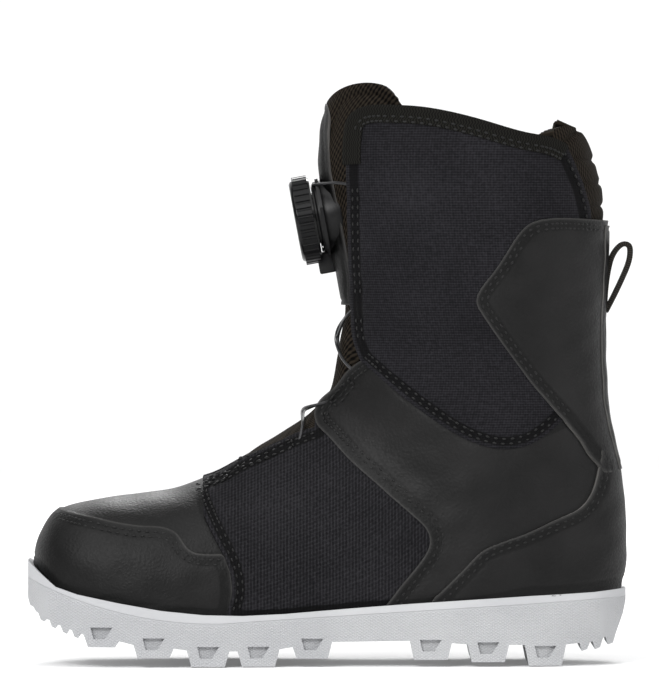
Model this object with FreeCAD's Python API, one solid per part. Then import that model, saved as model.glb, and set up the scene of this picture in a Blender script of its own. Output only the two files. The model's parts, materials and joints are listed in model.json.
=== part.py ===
"""Youth snowboard boot (right foot) with a rotary lace dial on the tongue, in millimetres.

+Z is up, the toe points to -X, the heel to +X, and the medial side faces -Y.
The origin is at the bottom centre of the whole boot's box.

The upper is one smooth surface: each cross-section of it lies in a plane that holds a
top (or front) point T, a bottom (or rear) point B and the Y direction. The planes stand
upright at the toe and turn until they lie nearly flat in the shaft.
"""
import math
import os

import FreeCAD
import Part

V = FreeCAD.Vector

# ---- driving dimensions, mm ----
SHELL_T = 2.0            # leather and textile shell
STIFFENER_IN = 2.2       # stiffeners and lace tubes lie between shell and lining
STIFFENER_T = 1.2
LINER_IN = 5.0           # padded lining, from the outer surface
LINER_OUT = 10.0
FOOTBED_T = 4.0
BOARD_CLEAR = 0.1        # between the lasting board and the lining above it
TONGUE_T = 9.0           # padded tongue
TONGUE_SKIN = 1.4        # its leather or mesh cover
# Half-width of the moving tongue at each height: it passes between the flaps
TONGUE_HALF = [(100.0, 11.8), (152.0, 11.8), (176.0, 19.5), (200.0, 23.5), (212.0, 24.5), (300.0, 24.5)]
SOLE_PROUD = 2.6         # the sole stands out from the upper
MIDSOLE_T = 3.2
FAR = 400.0

DIAL_CENTRE = V(-10.3, 0, 183.7)
DIAL_AXIS = V(-0.983, 0, -0.182)
DIAL_R = 18.5
DIAL_T = 8.3
DIAL_RIBS = 38
HINGE_X, HINGE_Z = 6.5, 119.0    # where the tongue folds
FOLD_DEG = 14.0
LACE_R = 0.65
GUIDE_R = 1.2
THROAT_HALF = 9.0        # least half-width between the flaps
LACE_DEPTH = 3.55        # of its hidden runs, between shell and lining
UPPER_CROSS_Z = 134.6    # where the lace crosses the tongue, and X of the two lower crossings
LOWER_CROSS_X = -11.6
LACE_END_X = -61.0

# Sections of the upper: T x, T z, B x, B z, half-width, end angle, roundness above and below
SECTIONS = [
    (-123.0, 46.5, -122.6, 37.0, 9.0, 118, 2.3, 2.3),
    (-121.0, 53.0, -121.0, 31.5, 19.5, 112, 2.3, 2.3),
    (-115.6, 62.3, -116.0, 27.0, 30.5, 108, 2.35, 2.3),
    (-105.0, 67.3, -105.0, 23.2, 39.0, 106, 2.4, 2.3),
    (-88.0, 70.3, -88.0, 19.8, 44.5, 105, 2.35, 2.3),
    (-66.0, 73.2, -66.0, 17.2, 47.0, 104, 2.2, 2.3),
    (-49.0, 79.6, -44.0, 15.9, 46.6, 104, 2.0, 2.3),
    (-35.0, 88.9, -20.0, 16.0, 43.8, 104, 1.9, 2.3),
    (-20.5, 98.0, 8.0, 17.6, 41.2, 105, 1.85, 2.3),
    (-10.0, 105.2, 40.0, 19.4, 39.8, 106, 1.85, 2.2),
    (-3.0, 112.5, 72.0, 21.2, 39.6, 109, 1.9, 2.2),
    (0.5, 120.0, 100.0, 23.0, 39.4, 124, 1.95, 2.2),
    (2.6, 127.0, 114.5, 25.5, 39.2, 150, 2.0, 2.2),
    (3.6, 133.0, 120.6, 38.0, 39.4, 172, 2.05, 2.2),
    (4.9, 140.0, 121.2, 53.0, 39.6, 176, 2.1, 2.2),
    (5.0, 148.0, 119.6, 76.0, 40.0, 176, 2.15, 2.2),
    (3.4, 158.0, 115.2, 96.0, 41.0, 176, 2.2, 2.2),
    (0.8, 172.0, 112.4, 122.0, 43.0, 176, 2.25, 2.2),
    (-1.2, 184.0, 112.3, 146.0, 44.6, 176, 2.3, 2.2),
    (-4.0, 200.0, 113.6, 176.0, 45.8, 176, 2.3, 2.2),
    (-4.6, 213.0, 112.8, 199.0, 46.4, 176, 2.3, 2.2),
    (-2.5, 229.0, 108.6, 217.0, 46.6, 176, 2.3, 2.2),
    (3.0, 246.0, 104.0, 238.0, 46.6, 176, 2.3, 2.2),
]
TOE_SWING = -7.0         # the toe tip lies this far to the medial side
TOE_SWING_FROM = -10.0   # ahead of this X the foot's line bends

# Top edge of the sole and the lasting line below it, from toe to heel
SOLE_TOP = [(-126.0, 44.0), (-120.0, 38.5), (-113.0, 32.6), (-104.0, 29.6), (-86.5, 26.0), (-69.5, 23.0),
            (-52.0, 21.2), (-36.0, 20.8), (-19.0, 21.5), (7.0, 23.6), (32.0, 25.5), (58.0, 27.2),
            (83.0, 28.8), (109.0, 30.0), (123.5, 31.3)]
SOLE_BOTTOM = [(-126.0, 33.0), (-124.6, 25.0), (-119.0, 20.5), (-112.0, 17.2), (-104.0, 14.2), (-88.0, 10.4),
               (-72.0, 8.0), (-50.0, 6.2), (-29.0, 6.4), (-7.0, 8.6), (6.5, 11.6), (20.0, 12.2), (34.0, 10.4),
               (54.0, 9.0), (77.0, 8.6), (97.0, 8.6), (108.0, 9.6), (119.0, 13.0), (121.4, 20.0)]
# Lugs: X from and to at the foot of the lug, and its lowest Z
LUGS = [(-99.5, -88.4, 8.0), (-79.0, -66.0, 3.6), (-57.0, -43.2, 0.0), (-36.2, -22.6, 0.0),
        (-13.6, -0.9, 3.2), (34.6, 48.4, 2.6), (58.4, 72.0, 1.6), (82.0, 95.6, 0.0)]
LUG_SLANT = 1.8          # a lug is this much wider at its root, each side
POCKET_W, POCKET_H, POCKET_D = 9.0, 7.0, 2.2


# ---- the upper's surface ----
def natural_spline(xs, ys):
    """A smooth curve y(x) through the given points, as a function."""
    n = len(xs) - 1
    h = [xs[i + 1] - xs[i] for i in range(n)]
    diag = [1.0] + [2 * (h[i - 1] + h[i]) for i in range(1, n)] + [1.0]
    right = [0.0] + [6 * ((ys[i + 1] - ys[i]) / h[i] - (ys[i] - ys[i - 1]) / h[i - 1])
                     for i in range(1, n)] + [0.0]
    upper = [0.0] + [h[i] for i in range(1, n)]
    for i in range(1, n):
        if i > 1:
            factor = h[i - 1] / diag[i - 1]
            diag[i] -= factor * upper[i - 1]
            right[i] -= factor * right[i - 1]
    bend = [0.0] * (n + 1)
    for i in range(n - 1, 0, -1):
        bend[i] = (right[i] - upper[i] * bend[i + 1]) / diag[i]

    def value(x):
        i = 0
        while i < n - 1 and x > xs[i + 1]:
            i += 1
        a = (xs[i + 1] - x) / h[i]
        b = 1 - a
        cubic = ((a ** 3 - a) * bend[i] + (b ** 3 - b) * bend[i + 1]) * h[i] ** 2 / 6
        return a * ys[i] + b * ys[i + 1] + cubic
    return value


def section_stations():
    """How far along the boot each section lies, from 0 to 1."""
    total = [0.0]
    for one, two in zip(SECTIONS, SECTIONS[1:]):
        top = math.hypot(two[0] - one[0], two[1] - one[1])
        rear = math.hypot(two[2] - one[2], two[3] - one[3])
        total.append(total[-1] + 0.5 * (top + rear))
    return [t / total[-1] for t in total]


STATIONS = section_stations()
CURVES = [natural_spline(STATIONS, [s[k] for s in SECTIONS]) for k in range(8)]


def crest_station(coordinate, value):
    """The station at which the crest passes this X (coordinate 0) or Z (coordinate 1)."""
    steps = [i / 1000 for i in range(1001)]
    return next(v for v in steps if CURVES[coordinate](v) >= value)


def toe_swing(x):
    """Sideways shift of the foot's centre line at this X."""
    if x > TOE_SWING_FROM:
        return 0.0
    return TOE_SWING * ((TOE_SWING_FROM - x) / (TOE_SWING_FROM + 123.0)) ** 1.8


def end_point(v, first, inset, side):
    """A profile curve's point (x, z), moved inwards square to the curve."""
    step = 0.002
    low = max(0.0, v - step)
    high = min(1.0, v + step)
    dx = CURVES[first](high) - CURVES[first](low)
    dz = CURVES[first + 1](high) - CURVES[first + 1](low)
    size = math.hypot(dx, dz)
    return (CURVES[first](v) + side * inset * dz / size,
            CURVES[first + 1](v) - side * inset * dx / size)


def signed_power(value, power):
    return math.copysign(abs(value) ** power, value)


def upper_point(v, u, inset=0.0):
    """The upper's surface at station v. u is 0 on the crest, -1 and 1 at the two lower edges."""
    tx, tz = end_point(v, 0, inset, 1)
    bx, bz = end_point(v, 2, inset, -1)
    half = max(2.0, CURVES[4](v) - inset)
    end = math.radians(CURVES[5](v))
    angle = abs(u) * end
    power = 2.0 / CURVES[6 if angle < math.pi / 2 else 7](v)
    low = signed_power(math.cos(end), 2.0 / CURVES[7](v))
    along = (signed_power(math.cos(angle), power) - low) / (1 - low)
    x = bx + along * (tx - bx)
    y = math.copysign(half * abs(math.sin(angle)) ** power, u) if u else 0.0
    return V(x, y + toe_swing(x), bz + along * (tz - bz))


def upper_solid(inset, rows=64, columns=33):
    """The closed solid inside the upper's surface, moved inwards by inset."""
    grid = []
    for i in range(rows):
        v = i / (rows - 1)
        grid.append([upper_point(v, -1 + 2 * j / (columns - 1), inset) for j in range(columns)])
    skin = Part.BSplineSurface()
    skin.interpolate(grid)
    u0, u1, v0, v1 = skin.bounds()
    left = skin.vIso(v0).toShape()
    right = skin.vIso(v1).toShape()
    faces = [skin.toShape(), Part.makeRuledSurface(left, right)]
    for u in (u0, u1):
        rim = skin.uIso(u)
        chord = Part.makeLine(rim.StartPoint, rim.EndPoint)
        faces.append(Part.Face(Part.Wire([rim.toShape(), chord])))
    shell = Part.makeShell(faces)
    shell.sewShape()
    solid = Part.makeSolid(Part.Shell(shell.Faces))
    if solid.Volume < 0:
        solid.reverse()
    return solid



# ---- helpers ----
def box(x0, x1, y0, y1, z0, z1):
    return Part.makeBox(x1 - x0, y1 - y0, z1 - z0, V(x0, y0, z0))


def upright(edges_or_points, y0=-FAR, y1=FAR):
    """A prism along Y from a closed outline of points or edges in the XZ plane."""
    if isinstance(edges_or_points[0], tuple):
        wire = Part.makePolygon([V(x, y0, z) for x, z in edges_or_points + edges_or_points[:1]])
    else:
        wire = Part.Wire(edges_or_points)
    return Part.Face(wire).extrude(V(0, y1 - y0, 0))


def outline(groups, y0=-FAR, y1=FAR):
    """A prism whose outline is smooth within each group of points and has a corner between groups."""
    edges = []
    for i, group in enumerate(groups):
        if len(group) > 1:
            curve = Part.BSplineCurve()
            curve.interpolate([V(x, y0, z) for x, z in group])
            edges.append(curve.toShape())
        following = groups[(i + 1) % len(groups)][0]
        if group[-1] != following:
            edges.append(Part.makeLine(V(group[-1][0], y0, group[-1][1]), V(following[0], y0, following[1])))
    return upright(edges, y0, y1)


def biggest(shape):
    return max(shape.Solids, key=lambda s: s.Volume)


def half(side):
    """The half space on one side of the middle: -1 is medial, 1 is lateral."""
    return box(-FAR, FAR, min(0, side * FAR), max(0, side * FAR), -FAR, FAR)


def save(name, shape):
    solids = [s for s in shape.Solids if s.Volume > 1.0]
    made = solids[0] if len(solids) == 1 else Part.makeCompound(solids)
    for solid in solids:
        if not solid.isValid():
            print("NOT VALID", name)
    made.exportStep("parts/" + name + ".step")
    print(name, len(solids), "solid(s)", round(sum(s.Volume for s in solids)), "mm3")


def underside(x):
    """Height of the sole between the lugs."""
    for one, two in zip(SOLE_BOTTOM, SOLE_BOTTOM[1:]):
        if one[0] <= x <= two[0]:
            return one[1] + (two[1] - one[1]) * (x - one[0]) / (two[0] - one[0])
    return SOLE_BOTTOM[-1][1]


def floor_line(inset, x0, x1, count=14):
    """Points of the lasting line inside the boot, raised by inset."""
    points = []
    for i in range(400):
        x, z = end_point(i / 399, 2, inset, -1)
        if x0 <= x <= x1 and z < 40 and (not points or x > points[-1][0]):
            points.append((x, z))
    step = (len(points) - 1) / (count - 1)
    return [points[round(i * step)] for i in range(count)]


def surface_at(x, z, side, inset):
    """The point of the upper's surface seen from the side at x, z, then moved inwards."""
    best = None
    low_v, high_v, low_u, high_u = 0.0, 1.0, 0.0, 1.0
    for _ in range(5):
        found = []
        for i in range(25):
            for j in range(25):
                v = low_v + (high_v - low_v) * i / 24
                u = low_u + (high_u - low_u) * j / 24
                p = upper_point(v, side * u)
                found.append((math.hypot(p.x - x, p.z - z), v, u))
        best = min(found, key=lambda f: f[0])
        span_v = (high_v - low_v) / 10
        span_u = (high_u - low_u) / 10
        low_v, high_v = max(0.0, best[1] - span_v), min(1.0, best[1] + span_v)
        low_u, high_u = max(0.0, best[2] - span_u), min(1.0, best[2] + span_u)
    return upper_point(best[1], side * best[2], inset)


def tube_along(points, radius):
    """A round tube along straight runs joined by tangent arcs."""
    edges = []
    start = points[0]
    for before, corner, after in zip(points, points[1:], points[2:]):
        one = (before - corner).normalize()
        two = (after - corner).normalize()
        reach = 0.45 * min((before - corner).Length, (after - corner).Length)
        turn = math.pi - one.getAngle(two)
        if turn < 0.02:
            continue
        enter = corner + one * reach
        leave = corner + two * reach
        bulge = reach * (1 / math.cos(turn / 2) - 1) / math.tan(turn / 2)
        middle = corner + (one + two).normalize() * bulge
        edges.append(Part.makeLine(start, enter))
        edges.append(Part.Arc(enter, middle, leave).toShape())
        start = leave
    edges.append(Part.makeLine(start, points[-1]))
    path = Part.Wire(edges)
    ring = Part.Wire(Part.makeCircle(radius, points[0], points[1] - points[0]))
    return path.makePipeShell([ring], True, True)


# ---- seams of the upper, in side view (x, z) ----
TOP_LINE = [(8.0, 220.5), (9.6, 225.6), (14.0, 228.8), (24.0, 229.8), (36.0, 229.2), (49.3, 227.0), (66.3, 222.4),
            (81.5, 218.2), (91.8, 215.9), (97.0, 213.2)]
REAR_TOP = [(88.6, 216.8), (93.0, 221.3), (97.5, 222.9), (102.3, 222.3), (106.5, 218.6), (110.0, 211.5)]
FLAP_EDGE = [(8.0, 220.5), (7.4, 212.0), (7.7, 199.5), (8.2, 174.0), (9.4, 148.5), (11.1, 131.6), (13.5, 125.5)]
QUARTER_TOP = [(13.5, 125.5), (8.3, 121.5), (2.0, 113.7), (-3.0, 109.0), (-6.2, 103.6)]
THROAT = [(-6.2, 97.8), (-12.0, 96.0), (-24.2, 90.4), (-37.4, 84.4), (-46.0, 79.6), (-57.0, 76.0)]
TOE_SEAM = [(-113.4, 65.0), (-103.5, 62.7), (-90.8, 60.0), (-78.0, 58.0), (-66.6, 56.7), (-63.0, 54.6),
            (-60.2, 50.6), (-57.0, 47.4), (-52.5, 46.3), (-43.9, 46.3)]
FOREFOOT_FRONT = [(-57.0, 76.0), (-53.8, 66.6), (-50.0, 58.2), (-46.2, 50.6), (-43.9, 46.3), (-40.6, 37.0),
                  (-40.2, 30.0), (-42.2, 23.0), (-46.0, 12.0)]
QUARTER_FRONT = [(-6.2, 103.6), (-5.2, 99.0), (-2.0, 95.6), (7.0, 86.0), (16.6, 77.4), (26.2, 69.0), (35.8, 60.8),
                 (40.4, 55.7), (41.4, 51.5), (39.6, 46.4), (35.8, 41.2), (29.4, 33.5), (21.8, 25.8), (12.0, 14.0)]
SHAFT_LOW = [(13.5, 125.5), (23.8, 116.3), (41.0, 102.8), (56.0, 93.4), (69.7, 89.4), (83.2, 91.7), (95.2, 101.0)]
ANKLE = [(116.0, 183.4), (98.8, 184.5), (86.9, 184.0), (81.5, 182.2), (77.0, 178.0), (72.3, 170.6), (65.6, 160.6),
         (61.0, 154.0), (60.0, 150.0), (61.7, 146.0), (74.8, 126.5), (85.0, 112.8), (95.2, 101.0), (101.9, 92.5),
         (112.0, 79.0)]
COUNTER_TOP = [(118.0, 107.0), (113.6, 101.0), (110.4, 84.7), (107.2, 71.6), (103.0, 65.4), (95.3, 61.4),
               (81.0, 55.6), (70.3, 51.7), (63.8, 48.8), (59.5, 45.2), (52.3, 38.0), (43.0, 29.5), (28.0, 12.0)]
COLLAR_EDGE = [(96.9, 230.0), (97.0, 213.2), (102.8, 201.0), (105.4, 193.0), (107.2, 183.9)]
TONGUE_TOP = [(-4.4, 222.0), (-2.0, 230.0), (0.9, 235.0), (6.9, 239.0), (16.2, 240.6), (22.2, 239.4), (26.4, 236.0),
              (30.7, 229.7)]


def lace_strand(side, lift):
    """One half of the lace, from the dial's housing to the toe end of the throat, as named stretches."""
    other = -side
    hidden = LACE_DEPTH
    return [
        ("exit", [V(-7.16, side * 4.0, 198.3), V(-6.9, side * 11.5, 198.5), surface_at(0.5, 199.2, side, -1.6),
                  surface_at(5.2, 199.4, side, -0.9), surface_at(7.6, 198.4, side, 1.2)]),
        ("flap", [surface_at(10.2, 195.0, side, hidden), surface_at(10.9, 186.0, side, hidden),
                  surface_at(11.2, 172.0, side, hidden), surface_at(12.0, 158.0, side, hidden),
                  surface_at(12.4, 150.4, side, hidden)]),
        ("cross", [surface_at(9.7, 146.4, side, 1.6), surface_at(7.0, 142.6, side, -0.9),
                   surface_at(5.2, 139.0, side, -1.1 - lift),
                   upper_point(crest_station(1, UPPER_CROSS_Z), 0, -1.1 - lift),
                   surface_at(4.4, 131.5, other, -1.1 - lift), surface_at(6.0, 126.2, other, -0.9),
                   surface_at(8.6, 122.4, other, 1.2)]),
        ("quarter", [surface_at(9.9, 118.4, other, hidden), surface_at(6.6, 114.2, other, hidden),
                     surface_at(2.6, 109.4, other, hidden)]),
        ("cross", [surface_at(-2.9, 107.2, other, 1.4), surface_at(-7.4, 105.0, other, -1.0 - lift),
                   upper_point(crest_station(0, LOWER_CROSS_X), 0, -1.3 - lift), surface_at(-10.6, 99.4, side, -1.0 - lift),
                   surface_at(-11.2, 95.6, side, 1.4)]),
        ("forefoot", [surface_at(-16.0, 91.2, side, hidden), surface_at(-25.0, 87.2, side, hidden),
                      surface_at(-34.0, 82.8, side, hidden), surface_at(-43.0, 77.6, side, hidden)]),
        ("end", [surface_at(-51.5, 74.2, side, hidden)]),
    ]


def make_lace(parts):
    """The steel lace, both halves in one piece, and the webbing tubes that guide it."""
    route = []
    guides = {-1: [], 1: []}
    for side, lift in ((-1, 0.0), (1, 1.7)):
        strand = lace_strand(side, lift)
        points = [p for name, stretch in strand for p in stretch]
        if side < 0:
            route = points + [upper_point(crest_station(0, LACE_END_X), 0, LACE_DEPTH)]
        else:
            route += points[::-1]
        for name, stretch in strand:
            if name in ("flap", "quarter", "forefoot"):
                guides[-side if name == "quarter" else side].append(stretch)
    parts["lace"] = tube_along(route, LACE_R)
    runs = sum((b - a).Length for a, b in zip(route, route[1:]))
    print("lace", parts["lace"].isValid(), round(runs), "mm of runs, volume", round(parts["lace"].Volume),
          "of", round(math.pi * LACE_R ** 2 * runs))
    around = tube_along(route, LACE_R + 0.2)
    room = around
    for side, word in ((-1, "medial"), (1, "lateral")):
        tubes = []
        for stretch in guides[side]:
            tubes.append(tube_along(stretch, GUIDE_R).cut(around))
            room = room.fuse(tube_along(stretch, GUIDE_R + 0.1))
        parts["lace_guides_" + word] = Part.makeCompound([biggest(t) for t in tubes])
    for name in list(parts):
        if name.startswith("lace") or name in ("midsole", "outsole", "strobel_sole"):
            continue
        if parts[name].BoundBox.intersect(room.BoundBox):
            cutter = room if name in ("lower_tongue", "tongue_pad", "liner") else around
            parts[name] = biggest(parts[name].cut(cutter))


def make_sole(outer, parts):
    """Rubber cup sole with lugs, its foam midsole and the boards above it."""
    plan = Part.Face(upper_solid(-SOLE_PROUD).slice(V(0, 0, 1), 36.0)[0])
    plan.translate(V(0, 0, -46))
    plan = plan.extrude(V(0, 0, 120))
    core = Part.Face(upper_solid(-SOLE_PROUD + POCKET_D).slice(V(0, 0, 1), 36.0)[0])
    core.translate(V(0, 0, -46))
    core = core.extrude(V(0, 0, 120))

    under = [(-128.0, 44.2)] + SOLE_BOTTOM[:1]
    teeth = [(-125.0 + 4.7 * i) for i in range(5)]
    for x in teeth:
        base = underside(x)
        under += [(x, base), (x + 1.0, base - 2.6), (x + 2.6, base - 3.4), (x + 3.6, underside(x + 3.6) - 0.2)]
    for x0, x1, low in LUGS:
        under += [(x0 - LUG_SLANT, underside(x0)), (x0, low), (x1, low), (x1 + LUG_SLANT, underside(x1))]
    for x in (103.0, 108.5, 114.0):
        base = underside(x)
        under += [(x, base), (x + 1.0, base - 3.4), (x + 3.2, base - 2.6), (x + 4.4, underside(x + 4.4) - 0.2)]
    under = [p for i, p in enumerate(under) if i == 0 or p[0] > under[i - 1][0]]
    profile = under + [(121.6, 21.0), (123.0, 27.0), (123.5, 31.3)]
    top = SOLE_TOP[::-1][1:]
    sole = upright(profile + top).common(plan)

    channel = [(-96.0, -20.0)] + [(x, underside(x)) for x in (-96.0, -80, -60, -40, -18, 6, 20, 34, 56, 78, 98.0)]
    channel += [(98.0, -20.0)]
    sole = sole.cut(upright(channel, -7.0, 5.0))
    ring = plan.cut(core)
    for x0, x1, low in LUGS:
        middle = 0.5 * (x0 + x1)
        foot = low + 1.2
        pocket = [(middle - POCKET_W / 2, foot + POCKET_H), (middle - POCKET_W / 2 + 1.2, foot + 2.2),
                  (middle + POCKET_W / 2 - 3.0, foot + 2.2), (middle + POCKET_W / 2, foot + POCKET_H)]
        sole = sole.cut(upright(pocket).common(ring))
    sole = sole.cut(upper_solid(-0.15))

    floor = floor_line(0.0, -104.0, 112.0)
    bed = [(x, z - 0.3) for x, z in floor] + [(x, z - 0.3 - MIDSOLE_T) for x, z in floor[::-1]]
    pocket = [(x, z + 0.6) for x, z in floor] + [(x, z - 0.5 - MIDSOLE_T) for x, z in floor[::-1]]
    inside = Part.Face(upper_solid(7.0).slice(V(0, 0, 1), 36.0)[0])
    inside.translate(V(0, 0, -46))
    inside = inside.extrude(V(0, 0, 120))
    near = Part.Face(upper_solid(6.7).slice(V(0, 0, 1), 36.0)[0])
    near.translate(V(0, 0, -46))
    near = near.extrude(V(0, 0, 120))
    parts["midsole"] = biggest(upright(bed).common(inside).cut(outer))
    parts["outsole"] = biggest(sole.cut(upright(pocket).common(near)))


def band(inset_low, inset_high, x0=-124.0, x1=122.0):
    """A prism between two heights above the lasting line."""
    low = floor_line(inset_low, x0, x1)
    high = floor_line(inset_high, x0, x1)
    return upright(low + high[::-1])


def crest_strip():
    """The middle of the throat, which is never narrower than this."""
    return box(-56.0, 13.0, -THROAT_HALF, THROAT_HALF, 70.0, 300.0)


def make_upper(outer, parts):
    """The sewn shell: panels cut from one layer, with stiffeners inside."""
    shell = outer.cut(upper_solid(SHELL_T))
    below = floor_line(SHELL_T + 0.5, -124.0, 119.0)
    bottom = upright([(-128.0, below[0][1])] + below + [(128.0, below[-1][1]), (128.0, -20.0), (-128.0, -20.0)])
    parts["strobel_sole"] = biggest(shell.common(bottom))
    shell = shell.cut(bottom)

    above = outline([TOP_LINE, [(97.0, 213.2), (97.0, 222.85)], REAR_TOP[2:], [(140.0, 205.0)], [(140.0, 300.0)],
                     [(-60.0, 300.0)], [(-60.0, 220.5)]])
    shell = shell.cut(above)
    front = outline([[(8.0, 300.0)], FLAP_EDGE, QUARTER_TOP, [(-6.2, 103.6), (-6.2, 97.8)], THROAT,
                     [(-57.0, 120.0)], [(-57.0, 300.0)]])
    shell = shell.cut(front).cut(crest_strip())

    toe = outline([[(-113.4, 90.0)], TOE_SEAM, FOREFOOT_FRONT[4:], [(-46.0, 5.0)], [(-140.0, 5.0)], [(-140.0, 90.0)]])
    parts["toe_cap"] = biggest(shell.common(toe))
    shell = shell.cut(toe)
    vamp = outline([[(-57.0, 90.0)], FOREFOOT_FRONT, [(-46.0, 5.0)], [(-140.0, 5.0)], [(-140.0, 90.0)]])
    parts["vamp"] = biggest(shell.common(vamp))
    shell = shell.cut(vamp)
    fore = outline([[(-6.2, 130.0)], QUARTER_FRONT, [(12.0, 5.0)], [(-80.0, 5.0)], [(-80.0, 130.0)]])
    forefoot = shell.common(fore)
    shell = shell.cut(fore)
    counter = outline([COUNTER_TOP, [(28.0, 5.0)], [(140.0, 5.0)], [(140.0, 107.0)]])
    parts["heel_counter"] = biggest(shell.common(counter))
    shell = shell.cut(counter)
    back = box(100.0, 140.0, -6.5, 6.5, 80.0, 181.0)
    parts["backstay"] = biggest(shell.common(back))
    shell = shell.cut(back)
    collar = outline([COLLAR_EDGE, [(107.2, 183.9), (140.0, 183.9)], [(140.0, 230.0)]])
    parts["rear_collar"] = biggest(shell.common(collar))
    shell = shell.cut(collar)
    ankle = outline([ANKLE, [(140.0, 79.0)], [(140.0, 183.4)]])
    overlay = shell.common(ankle)
    shell = shell.cut(ankle)
    low = outline([SHAFT_LOW, [(140.0, 101.0)], [(140.0, 0.0)], [(-60.0, 0.0)], [(-60.0, 125.5)]])
    quarter = shell.common(low)
    shaft = shell.cut(low)
    for side, word in ((-1, "medial"), (1, "lateral")):
        keep = half(side)
        parts["forefoot_panel_" + word] = biggest(forefoot.common(keep))
        parts["quarter_" + word] = biggest(quarter.common(keep))
        parts["shaft_panel_" + word] = biggest(shaft.common(keep))
        parts["ankle_overlay_" + word] = biggest(overlay.common(keep))

    layer = upper_solid(STIFFENER_IN).cut(upper_solid(STIFFENER_IN + STIFFENER_T))
    heel = outline([[(128.0, 92.0), (112.0, 88.0), (96.0, 74.0), (78.0, 62.0), (62.0, 52.0), (54.0, 38.0),
                     (52.0, 24.5)], [(128.0, 31.0)]])
    parts["heel_stiffener"] = biggest(layer.common(heel))
    toe = outline([[(-96.0, 90.0), (-93.0, 60.0), (-88.0, 40.0), (-87.0, 32.0)], [(-118.0, 40.0)], [(-118.0, 90.0)]])
    parts["toe_stiffener"] = biggest(layer.common(toe))


def make_inside(parts):
    """Boards, padded lining and footbed."""
    board = upper_solid(2.6).common(band(2.4, 4.4, -116.0, 112.0))
    shank = box(-18.0, 66.0, -9.0, 9.0, 0.0, 60.0).common(band(2.9, 4.1, -30.0, 90.0))
    room = box(-18.3, 66.3, -9.3, 9.3, 0.0, 60.0).common(band(2.8, 4.2, -30.0, 90.0))
    parts["lasting_board"] = board.cut(room).cut(upper_solid(LINER_IN - BOARD_CLEAR))
    parts["shank"] = shank

    liner = upper_solid(LINER_IN).cut(upper_solid(LINER_OUT))
    top = outline([[(-60.0, 219.0)], [(22.0, 222.0), (49.3, 219.5), (66.3, 216.5), (86.0, 212.0), (104.0, 211.0),
                                      (110.0, 205.0)], [(140.0, 205.0)], [(140.0, 300.0)], [(-60.0, 300.0)]])
    liner = liner.cut(top)
    liner = liner.cut(tongue_strip(0.7).common(box(-60.0, 38.0, -FAR, FAR, 106.0, 300.0)))
    liner = liner.cut(box(-60.0, 20.0, -60.0, 60.0, 106.0, 300.0))
    parts["liner"] = biggest(liner)
    foot = upper_solid(LINER_OUT + 0.3)
    parts["footbed"] = foot.common(band(LINER_OUT, LINER_OUT + FOOTBED_T, -110.0, 108.0))


def tongue_strip(room):
    """The space between the flaps that the tongue keeps to, in front view."""
    right = [(y + room, z) for z, y in TONGUE_HALF]
    around = right + [(-y, z) for y, z in right[::-1]]
    wire = Part.makePolygon([V(-60.0, y, z) for y, z in around + around[:1]])
    return Part.Face(wire).extrude(V(120.0, 0, 0))


def hinge_cylinder(radius):
    return Part.makeCylinder(radius, 2 * FAR, V(HINGE_X, -FAR, HINGE_Z), V(0, 1, 0))


def make_tongue(outer, parts):
    """The padded tongue above the hinge line and the mesh tongue below it."""
    throat = outline([[(9.0, 140.0), (13.5, 125.5)], QUARTER_TOP, [(-6.2, 103.6), (-6.2, 97.8)], THROAT,
                      [(-57.0, 140.0)]])
    lower = outer.cut(upper_solid(4.6)).common(throat.fuse(crest_strip()))
    wedge = math.radians(FOLD_DEG + 3)
    reach = 40.0
    swing = upright([(HINGE_X, HINGE_Z), (HINGE_X - reach, HINGE_Z - reach * math.tan(wedge)),
                     (HINGE_X - reach, 200.0), (40.0, 200.0), (40.0, HINGE_Z - 4.0), (HINGE_X, HINGE_Z - 4.0)])
    lower = lower.cut(swing).cut(hinge_cylinder(5.2))
    lower = lower.cut(box(-60, 60, -60, -27.0, 105, 160)).cut(box(-60, 60, 27.0, 60, 105, 160))
    parts["lower_tongue"] = biggest(lower)

    rear = [(30.7, 229.7), (29.5, 205.0), (24.0, 178.0), (15.0, 152.0), (HINGE_X + 4.0, HINGE_Z)]
    side = outline([TONGUE_TOP, rear, [(-30.0, HINGE_Z)], [(-30.0, 222.0)]])
    body = outer.common(side).common(tongue_strip(0.0))
    knuckle = hinge_cylinder(4.6).common(outer).common(tongue_strip(0.0))
    body = body.fuse(knuckle)
    between = box(-60.0, 60.0, -THROAT_HALF + 0.2, THROAT_HALF - 0.2, 100.0, 128.0)
    body = body.cut(box(-60.0, 60.0, -60.0, 60.0, 100.0, 128.0).cut(between))
    hollow = upper_solid(TONGUE_T).common(box(-60, 60, -15.5, 15.5, 180, 300))
    body = biggest(body.cut(hollow))

    cover_zone = tongue_strip(-2.5).common(box(-60, 12, -17.0, 17.0, 130.0, 226.0))
    skin = outer.cut(upper_solid(TONGUE_SKIN))
    parts["tongue_cover"] = biggest(body.common(skin).common(cover_zone))
    pad = body.cut(outer.cut(upper_solid(TONGUE_SKIN + 0.2)).common(cover_zone))
    inner_top = [(x + 0.6 * (14.0 - x) * 0.3, z - 4.0) for x, z in TONGUE_TOP]
    crown = outline([inner_top, [(40.0, 225.7)], [(40.0, 300.0)], [(-60.0, 300.0)], [(-60.0, 218.0)]])
    parts["tongue_rim"] = biggest(pad.common(crown))
    parts["tongue_pad"] = biggest(pad.cut(crown))


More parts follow.
